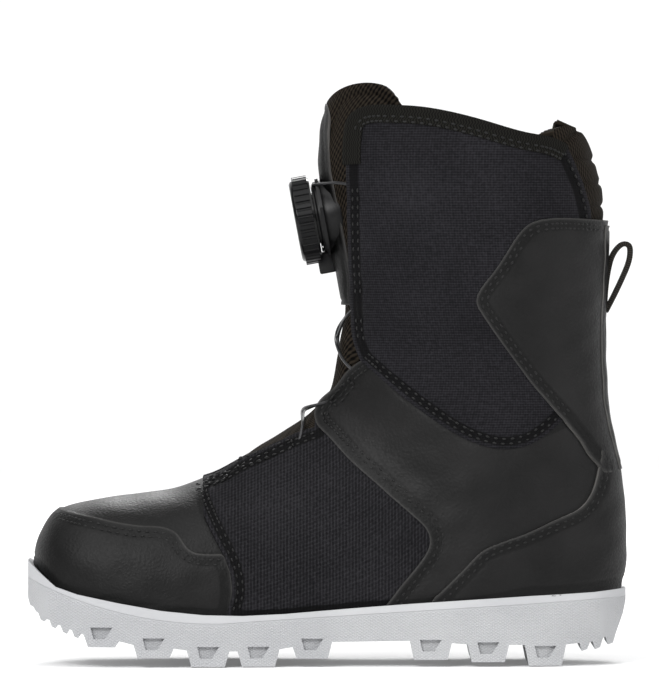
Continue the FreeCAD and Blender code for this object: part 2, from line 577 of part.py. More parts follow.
def make_dial(outer, parts):
    """Rotary lace dial: all pieces are turned about their own Z axis, then set on the tongue."""
    place = FreeCAD.Placement(DIAL_CENTRE - DIAL_AXIS * (DIAL_T / 2), FreeCAD.Rotation(V(0, 0, 1), DIAL_AXIS))

    def tube(r_out, r_in, z0, z1):
        body = Part.makeCylinder(r_out, z1 - z0, V(0, 0, z0))
        return body.cut(Part.makeCylinder(r_in, z1 - z0 + 2, V(0, 0, z0 - 1))) if r_in else body

    post_r, screw_r = 2.5, 1.2
    wall_in = 15.2
    base = tube(19.4, 0, -4.0, -2.6).common(Part.makeBox(32, 38, 20, V(-16, -19, -10)))
    cup = tube(14.2, 12.4, -2.7, -0.5)
    post = tube(post_r, screw_r, -2.7, 3.2)
    exits = Part.makeBox(3.0, 40.0, 1.5, V(-12.5, -20.0, -2.4))
    housing = base.fuse(cup).cut(exits).fuse(post)
    housing = housing.cut(tube(screw_r, 0, -4.5, 3.4))
    spool = tube(11.9, post_r + 0.06, -2.4, -0.9).cut(tube(13.0, 8.4, -2.0, -1.3))
    disc = tube(wall_in - 0.1, post_r + 0.06, 0.0, 0.6)
    for i in range(12):
        tooth = Part.makeBox(2.6, 1.6, 0.7, V(8.0, -0.8, -0.9))
        tooth.rotate(V(0, 0, 0), V(0, 0, 1), 30 * i)
        spool = spool.fuse(tooth)
        dog = Part.makeBox(2.6, 1.6, 0.8, V(8.0, -0.8, -0.75))
        dog.rotate(V(0, 0, 0), V(0, 0, 1), 30 * i + 15)
        disc = disc.fuse(dog)
    knob = tube(17.0, 0, -0.2, DIAL_T)
    knob = knob.makeFillet(1.6, [e for e in knob.Edges if abs(e.CenterOfMass.z - DIAL_T) < 0.01])
    knob = knob.cut(tube(wall_in, 0, -0.3, 6.2))
    grip = tube(DIAL_R, 17.02, 0.6, DIAL_T - 1.4)
    for i in range(DIAL_RIBS):
        angle = 2 * math.pi * i / DIAL_RIBS
        groove = Part.makeCylinder(0.7, DIAL_T, V(DIAL_R * math.cos(angle), DIAL_R * math.sin(angle), 0))
        grip = grip.cut(groove)
    screw = tube(screw_r - 0.05, 0, -3.8, 3.4).fuse(tube(4.2, 0, 3.4, 4.4))
    screw = screw.cut(Part.makeBox(5.0, 1.0, 1.0, V(-2.5, -0.5, 3.9)))
    for name, shape in (("dial_housing", housing), ("spool", spool), ("drive_disc", disc), ("dial_knob", knob),
                        ("dial_grip", grip), ("dial_screw", screw)):
        shape.Placement = place
        parts[name] = shape
    parts["dial_housing"] = biggest(parts["dial_housing"].cut(outer))


def make_pull_loop(outer, parts):
    """Webbing loop at the heel, standing off the backstay, and the patch that holds it."""
    loop = [(115.0, 145.2), (117.4, 149.0), (120.2, 154.4), (123.0, 160.2), (125.3, 166.0), (126.0, 171.0),
            (125.0, 174.4), (122.2, 174.8), (119.2, 173.2), (116.8, 169.6), (115.2, 164.6), (114.0, 158.0),
            (113.5, 151.0), (113.6, 145.6)]
    hole = [(115.2, 149.4), (118.2, 154.4), (121.2, 160.4), (123.6, 166.4), (124.3, 171.0), (123.6, 173.0),
            (121.8, 173.0), (119.9, 171.8), (118.2, 168.8), (116.6, 164.0), (115.4, 157.6)]
    ring = outline([loop], -5.5, 5.5).cut(outline([hole]))
    parts["pull_loop"] = biggest(ring)
    patch = upper_solid(-1.2).cut(upper_solid(-0.1)).common(box(105.0, 130.0, -7.0, 7.0, 133.0, 144.0))
    parts["loop_anchor"] = biggest(patch)


if __name__ == "__main__":
    os.makedirs("parts", exist_ok=True)
    outer = upper_solid(0.0)
    parts = {}
    make_sole(outer, parts)
    make_upper(outer, parts)
    make_inside(parts)
    make_tongue(outer, parts)
    make_dial(outer, parts)
    make_pull_loop(outer, parts)
    make_lace(parts)
    whole = Part.makeCompound([parts[n] for n in ("outsole", "pull_loop", "tongue_rim")]).optimalBoundingBox(True)
    to_origin = V(-whole.Center.x, -whole.Center.y, -whole.ZMin)
    print("moved to the origin by", to_origin, "overall", whole.XLength, whole.YLength, whole.ZLength)
    for name, shape in parts.items():
        shape.translate(to_origin)
        save(name, shape)
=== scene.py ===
# %% [markdown]
# # A youth snowboard boot
# A snowboard boot is a sewn upper of leather and cloth on a lugged rubber cup sole, closed by a
# lace that a rotary dial winds in. Its panels could be sculpted one by one, but then every seam
# would have to be fitted by hand. Here one smooth surface describes the whole upper, and every
# panel, pad, seam and stitch is laid on it, so they fit each other from the start. The CAD model
# gives the frame, and this script works in the same place and size, in metres.

# %% Load the frame
import json
import math

import bmesh
import bpy
import numpy as np
from mathutils import Matrix, Vector
from mathutils.bvhtree import BVHTree


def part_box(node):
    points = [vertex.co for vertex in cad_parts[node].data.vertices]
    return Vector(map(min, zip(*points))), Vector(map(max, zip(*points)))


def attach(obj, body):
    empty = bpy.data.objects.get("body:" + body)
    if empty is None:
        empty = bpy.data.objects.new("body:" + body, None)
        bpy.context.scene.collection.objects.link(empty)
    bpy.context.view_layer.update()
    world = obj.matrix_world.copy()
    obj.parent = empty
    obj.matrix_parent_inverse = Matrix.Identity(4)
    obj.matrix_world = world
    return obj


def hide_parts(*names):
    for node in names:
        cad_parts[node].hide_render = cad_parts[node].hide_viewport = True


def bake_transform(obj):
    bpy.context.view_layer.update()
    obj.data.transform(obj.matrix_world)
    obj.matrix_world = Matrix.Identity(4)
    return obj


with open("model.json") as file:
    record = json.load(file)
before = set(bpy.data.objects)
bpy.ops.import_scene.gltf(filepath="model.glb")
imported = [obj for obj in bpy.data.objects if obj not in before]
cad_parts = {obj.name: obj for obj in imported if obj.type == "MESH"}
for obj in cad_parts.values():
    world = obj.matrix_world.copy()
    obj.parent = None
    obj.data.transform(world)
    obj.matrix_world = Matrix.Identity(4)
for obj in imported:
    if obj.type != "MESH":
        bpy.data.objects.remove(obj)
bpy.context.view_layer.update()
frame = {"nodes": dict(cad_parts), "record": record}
MM = 0.001
joints = {j["name"]: j for j in frame["record"]["behaviour"]["joints"]}
FOLD_AT = Vector(joints["tongue_fold"]["pos_m"])
HINGE_X = 6.5
grip_low, grip_high = (Vector(p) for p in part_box("dial_grip"))
SHIFT = np.array([FOLD_AT.x / MM - HINGE_X, (grip_low.y + grip_high.y) / 2 / MM, 0.0])

# %% [markdown]
# ## The upper's surface
# The upper of a real boot is pulled over a last, a solid foot shape, so it is smooth everywhere
# but at its seams. Level slices would be the usual loft, but a boot's toe lies down while its
# shaft stands up, and level slices meet the toe almost edge on. Here each cross-section has a top
# point T and a bottom point B in side view, and the sections turn from upright at the toe to level
# in the shaft. A natural spline joins their sizes, which keeps the bend continuous.

# %% Sections and the surface they make
# T x, T z, B x, B z, half-width, end angle, roundness above and below, in mm and degrees
SECTIONS = np.array([
    (-123.0, 46.5, -122.6, 37.0, 9.0, 118, 2.3, 2.3),
    (-121.0, 53.0, -121.0, 31.5, 19.5, 112, 2.3, 2.3),
    (-115.6, 62.3, -116.0, 27.0, 30.5, 108, 2.35, 2.3),
    (-105.0, 67.3, -105.0, 23.2, 39.0, 106, 2.4, 2.3),
    (-88.0, 70.3, -88.0, 19.8, 44.5, 105, 2.35, 2.3),
    (-66.0, 73.2, -66.0, 17.2, 47.0, 104, 2.2, 2.3),
    (-49.0, 79.6, -44.0, 15.9, 46.6, 104, 2.0, 2.3),
    (-35.0, 88.9, -20.0, 16.0, 43.8, 104, 1.9, 2.3),
    (-20.5, 98.0, 8.0, 17.6, 41.2, 105, 1.85, 2.3),
    (-10.0, 105.2, 40.0, 19.4, 39.8, 106, 1.85, 2.2),
    (-3.0, 112.5, 72.0, 21.2, 39.6, 109, 1.9, 2.2),
    (0.5, 120.0, 100.0, 23.0, 39.4, 124, 1.95, 2.2),
    (2.6, 127.0, 114.5, 25.5, 39.2, 150, 2.0, 2.2),
    (3.6, 133.0, 120.6, 38.0, 39.4, 172, 2.05, 2.2),
    (4.9, 140.0, 121.2, 53.0, 39.6, 176, 2.1, 2.2),
    (5.0, 148.0, 119.6, 76.0, 40.0, 176, 2.15, 2.2),
    (3.4, 158.0, 115.2, 96.0, 41.0, 176, 2.2, 2.2),
    (0.8, 172.0, 112.4, 122.0, 43.0, 176, 2.25, 2.2),
    (-1.2, 184.0, 112.3, 146.0, 44.6, 176, 2.3, 2.2),
    (-4.0, 200.0, 113.6, 176.0, 45.8, 176, 2.3, 2.2),
    (-4.6, 213.0, 112.8, 199.0, 46.4, 176, 2.3, 2.2),
    (-2.5, 229.0, 108.6, 217.0, 46.6, 176, 2.3, 2.2),
    (3.0, 246.0, 104.0, 238.0, 46.6, 176, 2.3, 2.2),
])
TOE_SWING = -7.0
TOE_SWING_FROM = -10.0
TOE_TIP = -123.0


def natural_spline(xs, ys):
    """A smooth curve through the points, as a function of an array."""
    n = len(xs)
    h = np.diff(xs)
    system = np.eye(n)
    right = np.zeros(n)
    for i in range(1, n - 1):
        system[i, i - 1:i + 2] = h[i - 1], 2 * (h[i - 1] + h[i]), h[i]
        right[i] = 6 * ((ys[i + 1] - ys[i]) / h[i] - (ys[i] - ys[i - 1]) / h[i - 1])
    bend = np.linalg.solve(system, right)

    def value(x):
        i = np.clip(np.searchsorted(xs, x) - 1, 0, n - 2)
        a = (xs[i + 1] - x) / h[i]
        b = 1 - a
        cubic = ((a ** 3 - a) * bend[i] + (b ** 3 - b) * bend[i + 1]) * h[i] ** 2 / 6
        return a * ys[i] + b * ys[i + 1] + cubic
    return value


top_steps = np.hypot(*np.diff(SECTIONS[:, :2], axis=0).T)
low_steps = np.hypot(*np.diff(SECTIONS[:, 2:4], axis=0).T)
steps = 0.5 * (top_steps + low_steps)
stations = np.concatenate([[0], np.cumsum(steps)]) / steps.sum()
CURVES = [natural_spline(stations, SECTIONS[:, k]) for k in range(8)]


def end_point(v, first, inset, side):
    """A profile curve's points, moved inwards square to the curve."""
    low, high = np.clip(v - 0.002, 0, 1), np.clip(v + 0.002, 0, 1)
    dx = CURVES[first](high) - CURVES[first](low)
    dz = CURVES[first + 1](high) - CURVES[first + 1](low)
    size = np.hypot(dx, dz)
    x = CURVES[first](v) + side * inset * dz / size
    z = CURVES[first + 1](v) - side * inset * dx / size
    return x, z


def upper(v, u, inset=0.0):
    """Points of the upper's surface in mm: u is 0 on the crest and -1 (medial) or 1 at the lower edges.

    From 1 to 1.1 it closes the gap to the middle line behind the heel. Past 1.1 it comes round the
    other side.
    """
    v, u, inset = np.broadcast_arrays(np.asarray(v, float), np.asarray(u, float), np.asarray(inset, float))
    u = np.where(u > 1.1, u - 2.2, u)
    closing = np.clip((np.abs(u) - 1.0) / 0.1, 0, 1)
    u = np.clip(u, -1, 1)
    tip = np.clip(-v / 0.02, 0, 1)
    v = np.clip(v, 0, 1)
    tx, tz = end_point(v, 0, inset, 1)
    bx, bz = end_point(v, 2, inset, -1)
    half = np.maximum(2.0, CURVES[4](v) - inset)
    end = np.radians(CURVES[5](v))
    angle = np.abs(u) * end
    power = 2.0 / np.where(angle < math.pi / 2, CURVES[6](v), CURVES[7](v))
    low = -np.abs(np.cos(end)) ** (2.0 / CURVES[7](v))
    along = (np.sign(np.cos(angle)) * np.abs(np.cos(angle)) ** power - low) / (1 - low)
    x = bx + along * (tx - bx)
    y = np.sign(u) * half * np.abs(np.sin(angle)) ** power * (1 - closing)
    z = bz + along * (tz - bz)
    swing = TOE_SWING * (np.clip(TOE_SWING_FROM - x, 0, None) / (TOE_SWING_FROM - TOE_TIP)) ** 1.8
    points = np.stack([x, y + swing, z], axis=-1)
    middle = np.stack([x * 0 + TOE_TIP - 0.8 + inset, y * 0 + TOE_SWING, z * 0 + 42.0], axis=-1)
    return points + tip[..., None] * (middle - points)


def to_frame(points):
    """Millimetres of the boot's own design to metres of the shared frame."""
    return (points + SHIFT) * MM


print(len(SECTIONS), "sections; crest at the throat", upper(0.4, 0.0).round(1))

# %% [markdown]
# ## Making an object, and giving a sheet its thickness
# Leather and cloth panels are 1 to 2 mm thick, with edges that are cut and slightly rounded. The
# thickness could be modelled face by face, but a Solidify modifier grows it evenly from the
# outer skin, and a Bevel modifier that only acts on sharp angles then rounds the rim.

# %% Objects and thickness
def finish_mesh(name, bm, materials):
    """Turns a bmesh into an object in the scene. A piece that stands for a CAD node is called its skin."""
    name = f"{name}_skin" if name in frame["nodes"] else name
    mesh = bpy.data.meshes.new(name)
    bm.normal_update()
    bm.to_mesh(mesh)
    bm.free()
    for material in materials:
        mesh.materials.append(material)
    for polygon in mesh.polygons:
        polygon.use_smooth = True
    piece = bpy.data.objects.new(name, mesh)
    bpy.context.scene.collection.objects.link(piece)
    return piece


def modifier(piece, kind, **settings):
    """Adds a modifier with its settings."""
    made = piece.modifiers.new(kind.title(), kind)
    for key, value in settings.items():
        setattr(made, key, value)


def thicken(piece, thickness, rim_slot=0, round_by=0.35, segments=2):
    """Gives a sheet its thickness, inwards, and rounds its edges."""
    modifier(piece, "SOLIDIFY", thickness=thickness * MM, offset=-1, use_even_offset=True,
             material_offset_rim=rim_slot)
    if round_by:
        modifier(piece, "BEVEL", width=round_by * MM, segments=segments, limit_method="ANGLE",
                 angle_limit=math.radians(50), harden_normals=False)


print("mesh helpers ready for", len(frame["nodes"]), "CAD nodes")

# %% [markdown]
# ## Seam lines in side view
# A pattern maker draws a boot's panels flat, and so does this script. Each seam is a few points
# in side view, smoothed by the same spline as the sections, and a panel is a closed outline of
# such lines. The distance from any place to that outline says where the panel ends and how far
# in from its edge a stitch or a fold lies.

# %% Lines and outlines
def smooth_line(points, step=1.0):
    """Evenly spaced points on a smooth curve through the given ones (2-D or 3-D, in mm)."""
    points = np.asarray(points, float)
    gaps = np.linalg.norm(np.diff(points, axis=0), axis=1)
    at = np.concatenate([[0], np.cumsum(gaps)])
    fine = np.linspace(0, at[-1], max(8, int(at[-1] / 0.25)))
    dense = np.stack([natural_spline(at, points[:, k])(fine) for k in range(points.shape[1])], axis=1)
    run = np.concatenate([[0], np.cumsum(np.linalg.norm(np.diff(dense, axis=0), axis=1))])
    even = np.linspace(0, run[-1], max(2, int(round(run[-1] / step)) + 1))
    return np.stack([np.interp(even, run, dense[:, k]) for k in range(points.shape[1])], axis=1)


def outline(*groups):
    """A closed side-view outline: smooth within a group of points, with a corner between groups."""
    parts = [smooth_line(g) if len(g) > 2 else np.asarray(g, float) for g in groups]
    return np.concatenate(parts)


def signed_distance(px, pz, loop):
    """Distance from each point to a closed outline, negative inside."""
    best = np.full(px.shape, 1e9)
    inside = np.zeros(px.shape, bool)
    for (ax, az), (bx, bz) in zip(loop, np.roll(loop, -1, axis=0)):
        dx, dz = bx - ax, bz - az
        size = dx * dx + dz * dz
        if size < 1e-9:
            continue
        t = np.clip(((px - ax) * dx + (pz - az) * dz) / size, 0, 1)
        best = np.minimum(best, np.hypot(px - ax - t * dx, pz - az - t * dz))
        crosses = (az > pz) != (bz > pz)
        inside ^= crosses & (px < ax + (pz - az) * dx / np.where(dz == 0, 1e-9, dz))
    return np.where(inside, -best, best)


square = outline([(0.0, 0.0), (10.0, 0.0)], [(10.0, 10.0), (0.0, 10.0)])
print("middle of a 10 mm square, from its edge:", signed_distance(np.array([5.0]), np.array([5.0]), square))

# %% [markdown]
# ## Which way is out, and how far round
# Two measures are needed before a sheet can be laid. Faces have to point away from the foot, so
# one function says roughly where outwards is. A woven cloth has to keep its thread spacing, so
# the other measures the way round the boot in millimetres, and becomes the cloth's UV.

# %% Outwards and girth
def outward_at(place):
    """Roughly outwards from the middle of the foot and leg, at a place in the frame."""
    x, y, z = np.array(place) / MM - SHIFT
    if z > 95:
        return Vector((x - 55.0, y, 0.0))
    middle_z = 45.0 if x < -20 else 45.0 + (x + 20.0) * 0.35
    middle_y = TOE_SWING * min(1.0, max(0.0, -x / 120.0))
    return Vector((min(0.0, x + 95.0) + max(0.0, x - 70.0), y - middle_y, z - middle_z))


GIRTH_ROWS = 89
GIRTH_COLUMNS = 80
BACK_U = 1.1
girth_v = np.linspace(0, 1, GIRTH_ROWS + 1)
girth_u = np.linspace(0, BACK_U, GIRTH_COLUMNS + 1)
girth_points = upper(girth_v[:, None], girth_u[None, :])
girth_steps = np.linalg.norm(np.diff(girth_points, axis=1), axis=2)
GIRTH = np.concatenate([np.zeros((GIRTH_ROWS + 1, 1)), np.cumsum(girth_steps, axis=1)], axis=1)


def girth_at(v, u):
    """Distance round the boot from the crest, in mm, signed by side."""
    row = np.clip(v, 0, 1) * GIRTH_ROWS
    past = u > BACK_U
    u = np.where(past, 2 * BACK_U - u, u)
    column = np.clip(np.abs(u) / BACK_U, 0, 1) * GIRTH_COLUMNS
    i = np.clip(row.astype(int), 0, GIRTH_ROWS - 1)
    j = np.clip(column.astype(int), 0, GIRTH_COLUMNS - 1)
    a, b = row - i, column - j
    low = GIRTH[i, j] * (1 - b) + GIRTH[i, j + 1] * b
    high = GIRTH[i + 1, j] * (1 - b) + GIRTH[i + 1, j + 1] * b
    way = low * (1 - a) + high * a
    whole = GIRTH[i, -1] * (1 - a) + GIRTH[i + 1, -1] * a
    return np.sign(u) * np.where(past, 2 * whole - way, way)


print("girth of the shaft at its top, in mm:", round(float(2 * GIRTH[-1, -1]), 1))

# %% [markdown]
# ## A sheet laid on the surface
# A panel is cut from flat material and then pulled over the last, and its mesh is made the same
# way. It starts as a flat grid from bmesh, whose two directions run along and round the boot. The
# grid is cut while it is flat, with its height set to the distance from the panel's edge: cutting
# where that height is nought leaves the seam as a clean edge, with no jagged steps. Only then is
# the grid laid on the boot. A boolean cut of a thick panel could do it too, but it would leave
# long thin faces that shade badly.

# %% Laying a sheet
CUT_SCALE = 0.01
SAME_PLACE = 0.05 * MM
TOO_THIN = 0.02 * MM


def surface_sheet(name, loop, v_range, u_range, inset, materials, cell=1.3, relief=None, cloth="shaft",
                  bend=None):
    """A sheet on the upper, cut to a side-view outline. Its UV runs round the boot and up it, in metres.

    The outline may be a function of the points that gives their distance past the edge. bend moves the
    finished points, in mm.
    """
    v0, v1 = v_range
    u0, u1 = u_range
    v_line = upper(np.linspace(v0, v1, 60), (u0 + u1) / 2)
    u_line = upper((v0 + v1) / 2, np.linspace(u0, u1, 60))
    rows = max(4, int(np.linalg.norm(np.diff(v_line, axis=0), axis=1).sum() / cell))
    columns = max(4, int(np.linalg.norm(np.diff(u_line, axis=0), axis=1).sum() / cell))
    bm = bmesh.new()
    bmesh.ops.create_grid(bm, x_segments=rows, y_segments=columns, size=0.5)
    flat = np.array([vert.co for vert in bm.verts])
    v = v0 + (flat[:, 0] + 0.5) * (v1 - v0)
    u = u0 + (flat[:, 1] + 0.5) * (u1 - u0)
    points = upper(v, u)
    distance = loop(points) if callable(loop) else signed_distance(points[:, 0], points[:, 2], loop)
    for vert, a, b, d in zip(bm.verts, v, u, distance):
        vert.co = a, b, d * CUT_SCALE
    everything = bm.verts[:] + bm.edges[:] + bm.faces[:]
    bmesh.ops.bisect_plane(bm, geom=everything, plane_co=(0, 0, 0), plane_no=(0, 0, 1), clear_outer=True)
    loose = [vert for vert in bm.verts if not vert.link_faces]
    bmesh.ops.delete(bm, geom=loose, context="VERTS")
    bm.verts.index_update()
    flat = np.array([vert.co for vert in bm.verts])
    inside = -flat[:, 2] / CUT_SCALE
    depth = np.full(len(flat), float(inset))
    if relief is not None:
        depth -= relief(inside, upper(flat[:, 0], flat[:, 1]))
    points = upper(flat[:, 0], flat[:, 1], depth)
    points = to_frame(bend(points) if bend else points)
    girth = girth_at(flat[:, 0], flat[:, 1]) * MM
    second = points[:, 2] if cloth == "shaft" else points[:, 0]
    uv = bm.loops.layers.uv.new("cloth")
    edge_mm = bm.verts.layers.float.new("edge_mm")
    for vert, p, g, s, d in zip(bm.verts, points, girth, second, inside):
        vert.co = p
        vert[edge_mm] = d
        for corner in vert.link_loops:
            corner[uv].uv = g, s
    bmesh.ops.remove_doubles(bm, verts=bm.verts, dist=SAME_PLACE)
    bmesh.ops.dissolve_degenerate(bm, dist=TOO_THIN, edges=bm.edges)
    bmesh.ops.recalc_face_normals(bm, faces=bm.faces)
    want = 0.0
    for face in list(bm.faces)[::40]:
        want += face.normal.dot(outward_at(face.calc_center_median()))
    if want < 0:
        bmesh.ops.reverse_faces(bm, faces=bm.faces)
    made = finish_mesh(name, bm, materials)
    print(name, len(made.data.polygons), "faces")
    return made


SIDES = (("medial", -1), ("lateral", 1))


def side_range(side, low=0.0, high=1.0):
    """The same span round the boot, on one side or the other."""
    return (low, high) if side > 0 else (-high, -low)


print("sheets can be laid on the", " and ".join(word for word, _ in SIDES), "sides")

# %% [markdown]
# ## Finishes: formulas for nodes
# Nodes can be wired by hand, but a weave is a formula: sines of the way along and across the
# cloth, multiplied and added. So a small class wraps a socket, and adding or multiplying two of
# them adds the Math nodes. Patterns use the object's own coordinates in metres, or the cloth UV
# where the weave has to follow the surface.

# %% A socket that can be used in formulas
class Value:
    """One output socket of a material's nodes."""

    def __init__(self, paint, socket):
        self.paint = paint
        self.socket = socket

    def math(self, operation, *others):
        return self.paint.node("ShaderNodeMath", {"operation": operation}, [self, *others])

    def __add__(self, other):
        return self.math("ADD", other)

    def __mul__(self, other):
        return self.math("MULTIPLY", other)

    def __sub__(self, other):
        return self.math("SUBTRACT", other)

    def __rsub__(self, other):
        return self.paint.node("ShaderNodeMath", {"operation": "SUBTRACT"}, [other, self])

    __radd__ = __add__
    __rmul__ = __mul__

    def clip(self, low, high):
        """0 below low and 1 above high, smooth between."""
        return self.paint.node("ShaderNodeMapRange", {"interpolation_type": "SMOOTHSTEP"},
                               {"Value": self, "From Min": low, "From Max": high})


class Paint:
    """A material that is built by wiring nodes to one Principled shader."""

    def __init__(self, name, **constants):
        self.material = bpy.data.materials.new(name)
        self.material.use_nodes = True
        self.tree = self.material.node_tree
        self.shader = next(n for n in self.tree.nodes if n.type == "BSDF_PRINCIPLED")
        for key, value in constants.items():
            self.shader.inputs[key.replace("_", " ")].default_value = value

    def node(self, kind, settings=None, inputs=(), output=0):
        made = self.tree.nodes.new(kind)
        for key, value in (settings or {}).items():
            setattr(made, key, value)
        pairs = inputs.items() if isinstance(inputs, dict) else enumerate(inputs)
        for key, value in pairs:
            if isinstance(value, Value):
                self.tree.links.new(value.socket, made.inputs[key])
            else:
                made.inputs[key].default_value = value
        return Value(self, made.outputs[output])

    def feed(self, name, value):
        self.tree.links.new(value.socket, self.shader.inputs[name])

    def place(self, kind="Object"):
        return self.node("ShaderNodeTexCoord", output=kind)

    def noise(self, where, scale, detail=2.0):
        inputs = {"Vector": where, "Scale": scale, "Detail": detail}
        return self.node("ShaderNodeTexNoise", None, inputs, "Fac")

    def cells(self, where, scale):
        inputs = {"Vector": where, "Scale": scale}
        return self.node("ShaderNodeTexVoronoi", {"feature": "SMOOTH_F1"}, inputs, "Distance")

    def axes(self, where):
        split = self.node("ShaderNodeSeparateXYZ", None, [where])
        return [Value(self, socket) for socket in split.socket.node.outputs]

    def mix(self, factor, one, two):
        made = self.tree.nodes.new("ShaderNodeMix")
        made.data_type = "RGBA"
        self.tree.links.new(factor.socket, made.inputs[0])
        made.inputs[6].default_value = (*one, 1)
        made.inputs[7].default_value = (*two, 1)
        return Value(self, made.outputs[2])

    def mix_colours(self, factor, one, two):
        """As mix, but the first colour is already a socket."""
        made = self.mix(factor, (0, 0, 0), two)
        self.tree.links.new(one.socket, made.socket.node.inputs[6])
        return made

    def bump(self, height, depth_mm, strength):
        """Height runs from 0 to 1 over depth_mm."""
        inputs = {"Height": height, "Distance": depth_mm * MM, "Strength": strength}
        self.feed("Normal", self.node("ShaderNodeBump", None, inputs, "Normal"))


def grey(value, tint=(1.0, 1.0, 1.0)):
    """A grey, or a grey that leans to a tint."""
    return tuple(value * t for t in tint)


print("paint ready; a warm grey is", grey(0.5, (1.0, 0.98, 0.95)))

# %% [markdown]
# ## Leather, cut edge and thread
# The boot's leather is synthetic: a coating rolled with small pebbles, satin, with faint broad
# changes of shade where it was stretched. Smooth Voronoi cells give the pebbles, and two noises
# add the creases between them and the slow swells. Each panel stores how far every point is from
# its edge, so the same material can paint shade into the sunk stitch rows and paint a highlight
# along the cut lip, where light would catch it.

# %% Leather, cut edge and stitching thread
CHANNEL_FROM = 1.5
CHANNEL_TO = 4.9
# Painted highlight: the pale grey put along the cut lip of leather panels, where light would catch the edge.
LIP_HIGHLIGHT = 0.034


def painted_channel_shade(paint, body):
    """Paints shade into the sunk band that holds the two rows of stitches: near-black mixed in by the
    distance from the panel's edge.
    """
    inside = paint.node("ShaderNodeAttribute", {"attribute_name": "edge_mm"}, output="Fac")
    starts = inside.clip(CHANNEL_FROM - 0.4, CHANNEL_FROM + 0.2)
    band = starts * (1.0 - inside.clip(CHANNEL_TO - 0.2, CHANNEL_TO + 0.6))
    # Painted shade: near-black mixed into the sunk channel, where shade would fall in the recess.
    return inside, paint.mix_colours(band * 0.8, body, grey(0.0012))


def leather(name, dark, light, pebble):
    """Pebbled synthetic leather: rounded cells with fine creases, satin, with painted shade in its stitch
    channel and a painted highlight on its cut lip.
    """
    paint = Paint(name, Specular_IOR_Level=0.2)
    where = paint.place()
    pebbles = paint.cells(where, pebble)
    creases = paint.noise(where, 1900.0, 3.0)
    broad = paint.noise(where, 34.0, 3.0)
    swells = paint.noise(where, 420.0, 2.0)
    body = paint.mix(broad.clip(0.3, 0.75), grey(dark), grey(light, (1.0, 0.97, 0.98)))
    # Painted shade in the sunk stitch channel.
    inside, body = painted_channel_shade(paint, body)
    # Painted highlight: a paler line mixed in along the cut lip.
    lip = (1.0 - inside.clip(0.3, 0.95)) * (0.35 + broad * 0.9)
    paint.feed("Base Color", paint.mix_colours(lip, body, grey(LIP_HIGHLIGHT, (1.0, 0.98, 0.95))))
    paint.feed("Roughness", 0.38 + broad * 0.1 + pebbles * 0.16 + creases * 0.06)
    paint.bump((1.0 - pebbles) * 0.8 + creases * 0.3 + swells * 0.35, 0.22, 0.8)
    return paint.material


UNEVEN = 0.25


def plain(name, colour, roughness, grain=2500.0, depth_mm=0.04, **constants):
    """A moulded or rolled finish with a fine grain and slightly uneven colour and gloss."""
    paint = Paint(name, **constants)
    where = paint.place()
    fine = paint.noise(where, grain, 2.0)
    broad = paint.noise(where, 55.0, 3.0)
    low = tuple(c * (1 - UNEVEN) for c in colour)
    high = tuple(min(1.0, c * (1 + UNEVEN)) for c in colour)
    paint.feed("Base Color", paint.mix(broad.clip(0.3, 0.7), low, high))
    paint.feed("Roughness", roughness - 0.06 + broad * 0.12)
    paint.bump(fine, depth_mm, 0.6)
    return paint.material


def thread(name, colour):
    """Twisted thread: slanted ribs."""
    paint = Paint(name, Roughness=0.5, Specular_IOR_Level=0.25)
    x, _, z = paint.axes(paint.place())
    ribs = ((x + z) * 9000.0).math("SINE")
    paint.feed("Base Color", paint.mix(ribs.clip(-0.6, 0.8), grey(colour * 0.5), grey(colour)))
    paint.bump(ribs, 0.05, 0.6)
    return paint.material


LEATHER = leather("leather_pebbled", 0.0042, 0.0095, 900.0)
LEATHER_SMOOTH = leather("leather_toe", 0.0038, 0.0085, 1050.0)
CUT_EDGE = plain("leather_cut_edge", (0.085, 0.082, 0.078), 0.6)
THREAD = thread("thread_black", 0.016)
print("leather, edge and thread made")

# %% [markdown]
# ## Textiles
# The shaft is ripstop: fine plain cloth with a heavier yarn about every millimetre, both ways.
# The tongue and collar are knitted spacer mesh, with slanted ribs and small holes. The binding
# and the loop are woven tape. An image could show all this, but formulas on the cloth UV have no
# resolution limit and no seams, and their threads follow the panels round the boot.

# %% Textiles
def weave(name, dark, light, rib=1.05, minor=0.42, depth_mm=0.14):
    """Ripstop cloth: a fine plain weave with a heavier yarn every millimetre or so, both ways."""
    paint = Paint(name, Specular_IOR_Level=0.08)
    u, v, _ = paint.axes(paint.place("UV"))
    where = paint.place()
    slubs = paint.noise(where, 900.0, 2.0)
    patchy = paint.noise(where, 260.0, 3.0)
    turn = 2 * math.pi / MM
    rows = (v * (turn / rib) + patchy * 1.6).math("SINE").clip(-0.2, 1.0)
    columns = (u * (turn / (rib * 1.15)) + patchy * 1.2).math("SINE").clip(0.1, 1.0)
    fine = (u * (turn / minor)).math("SINE") * (v * (turn / minor)).math("SINE")
    yarn = rows * 0.3 + columns * 0.16 + fine * 0.14 + slubs * 0.9
    broad = paint.noise(where, 28.0, 2.0)
    shade = yarn * 0.75 + broad * 0.35
    # Painted shade: the sunk stitch channel near the cloth's sewn edges is darkened.
    _, cloth = painted_channel_shade(paint, paint.mix(shade.clip(0.35, 1.05), dark, light))
    paint.feed("Base Color", cloth)
    paint.feed("Roughness", 0.6 + slubs * 0.2)
    paint.bump(yarn, depth_mm, 0.7)
    return paint.material


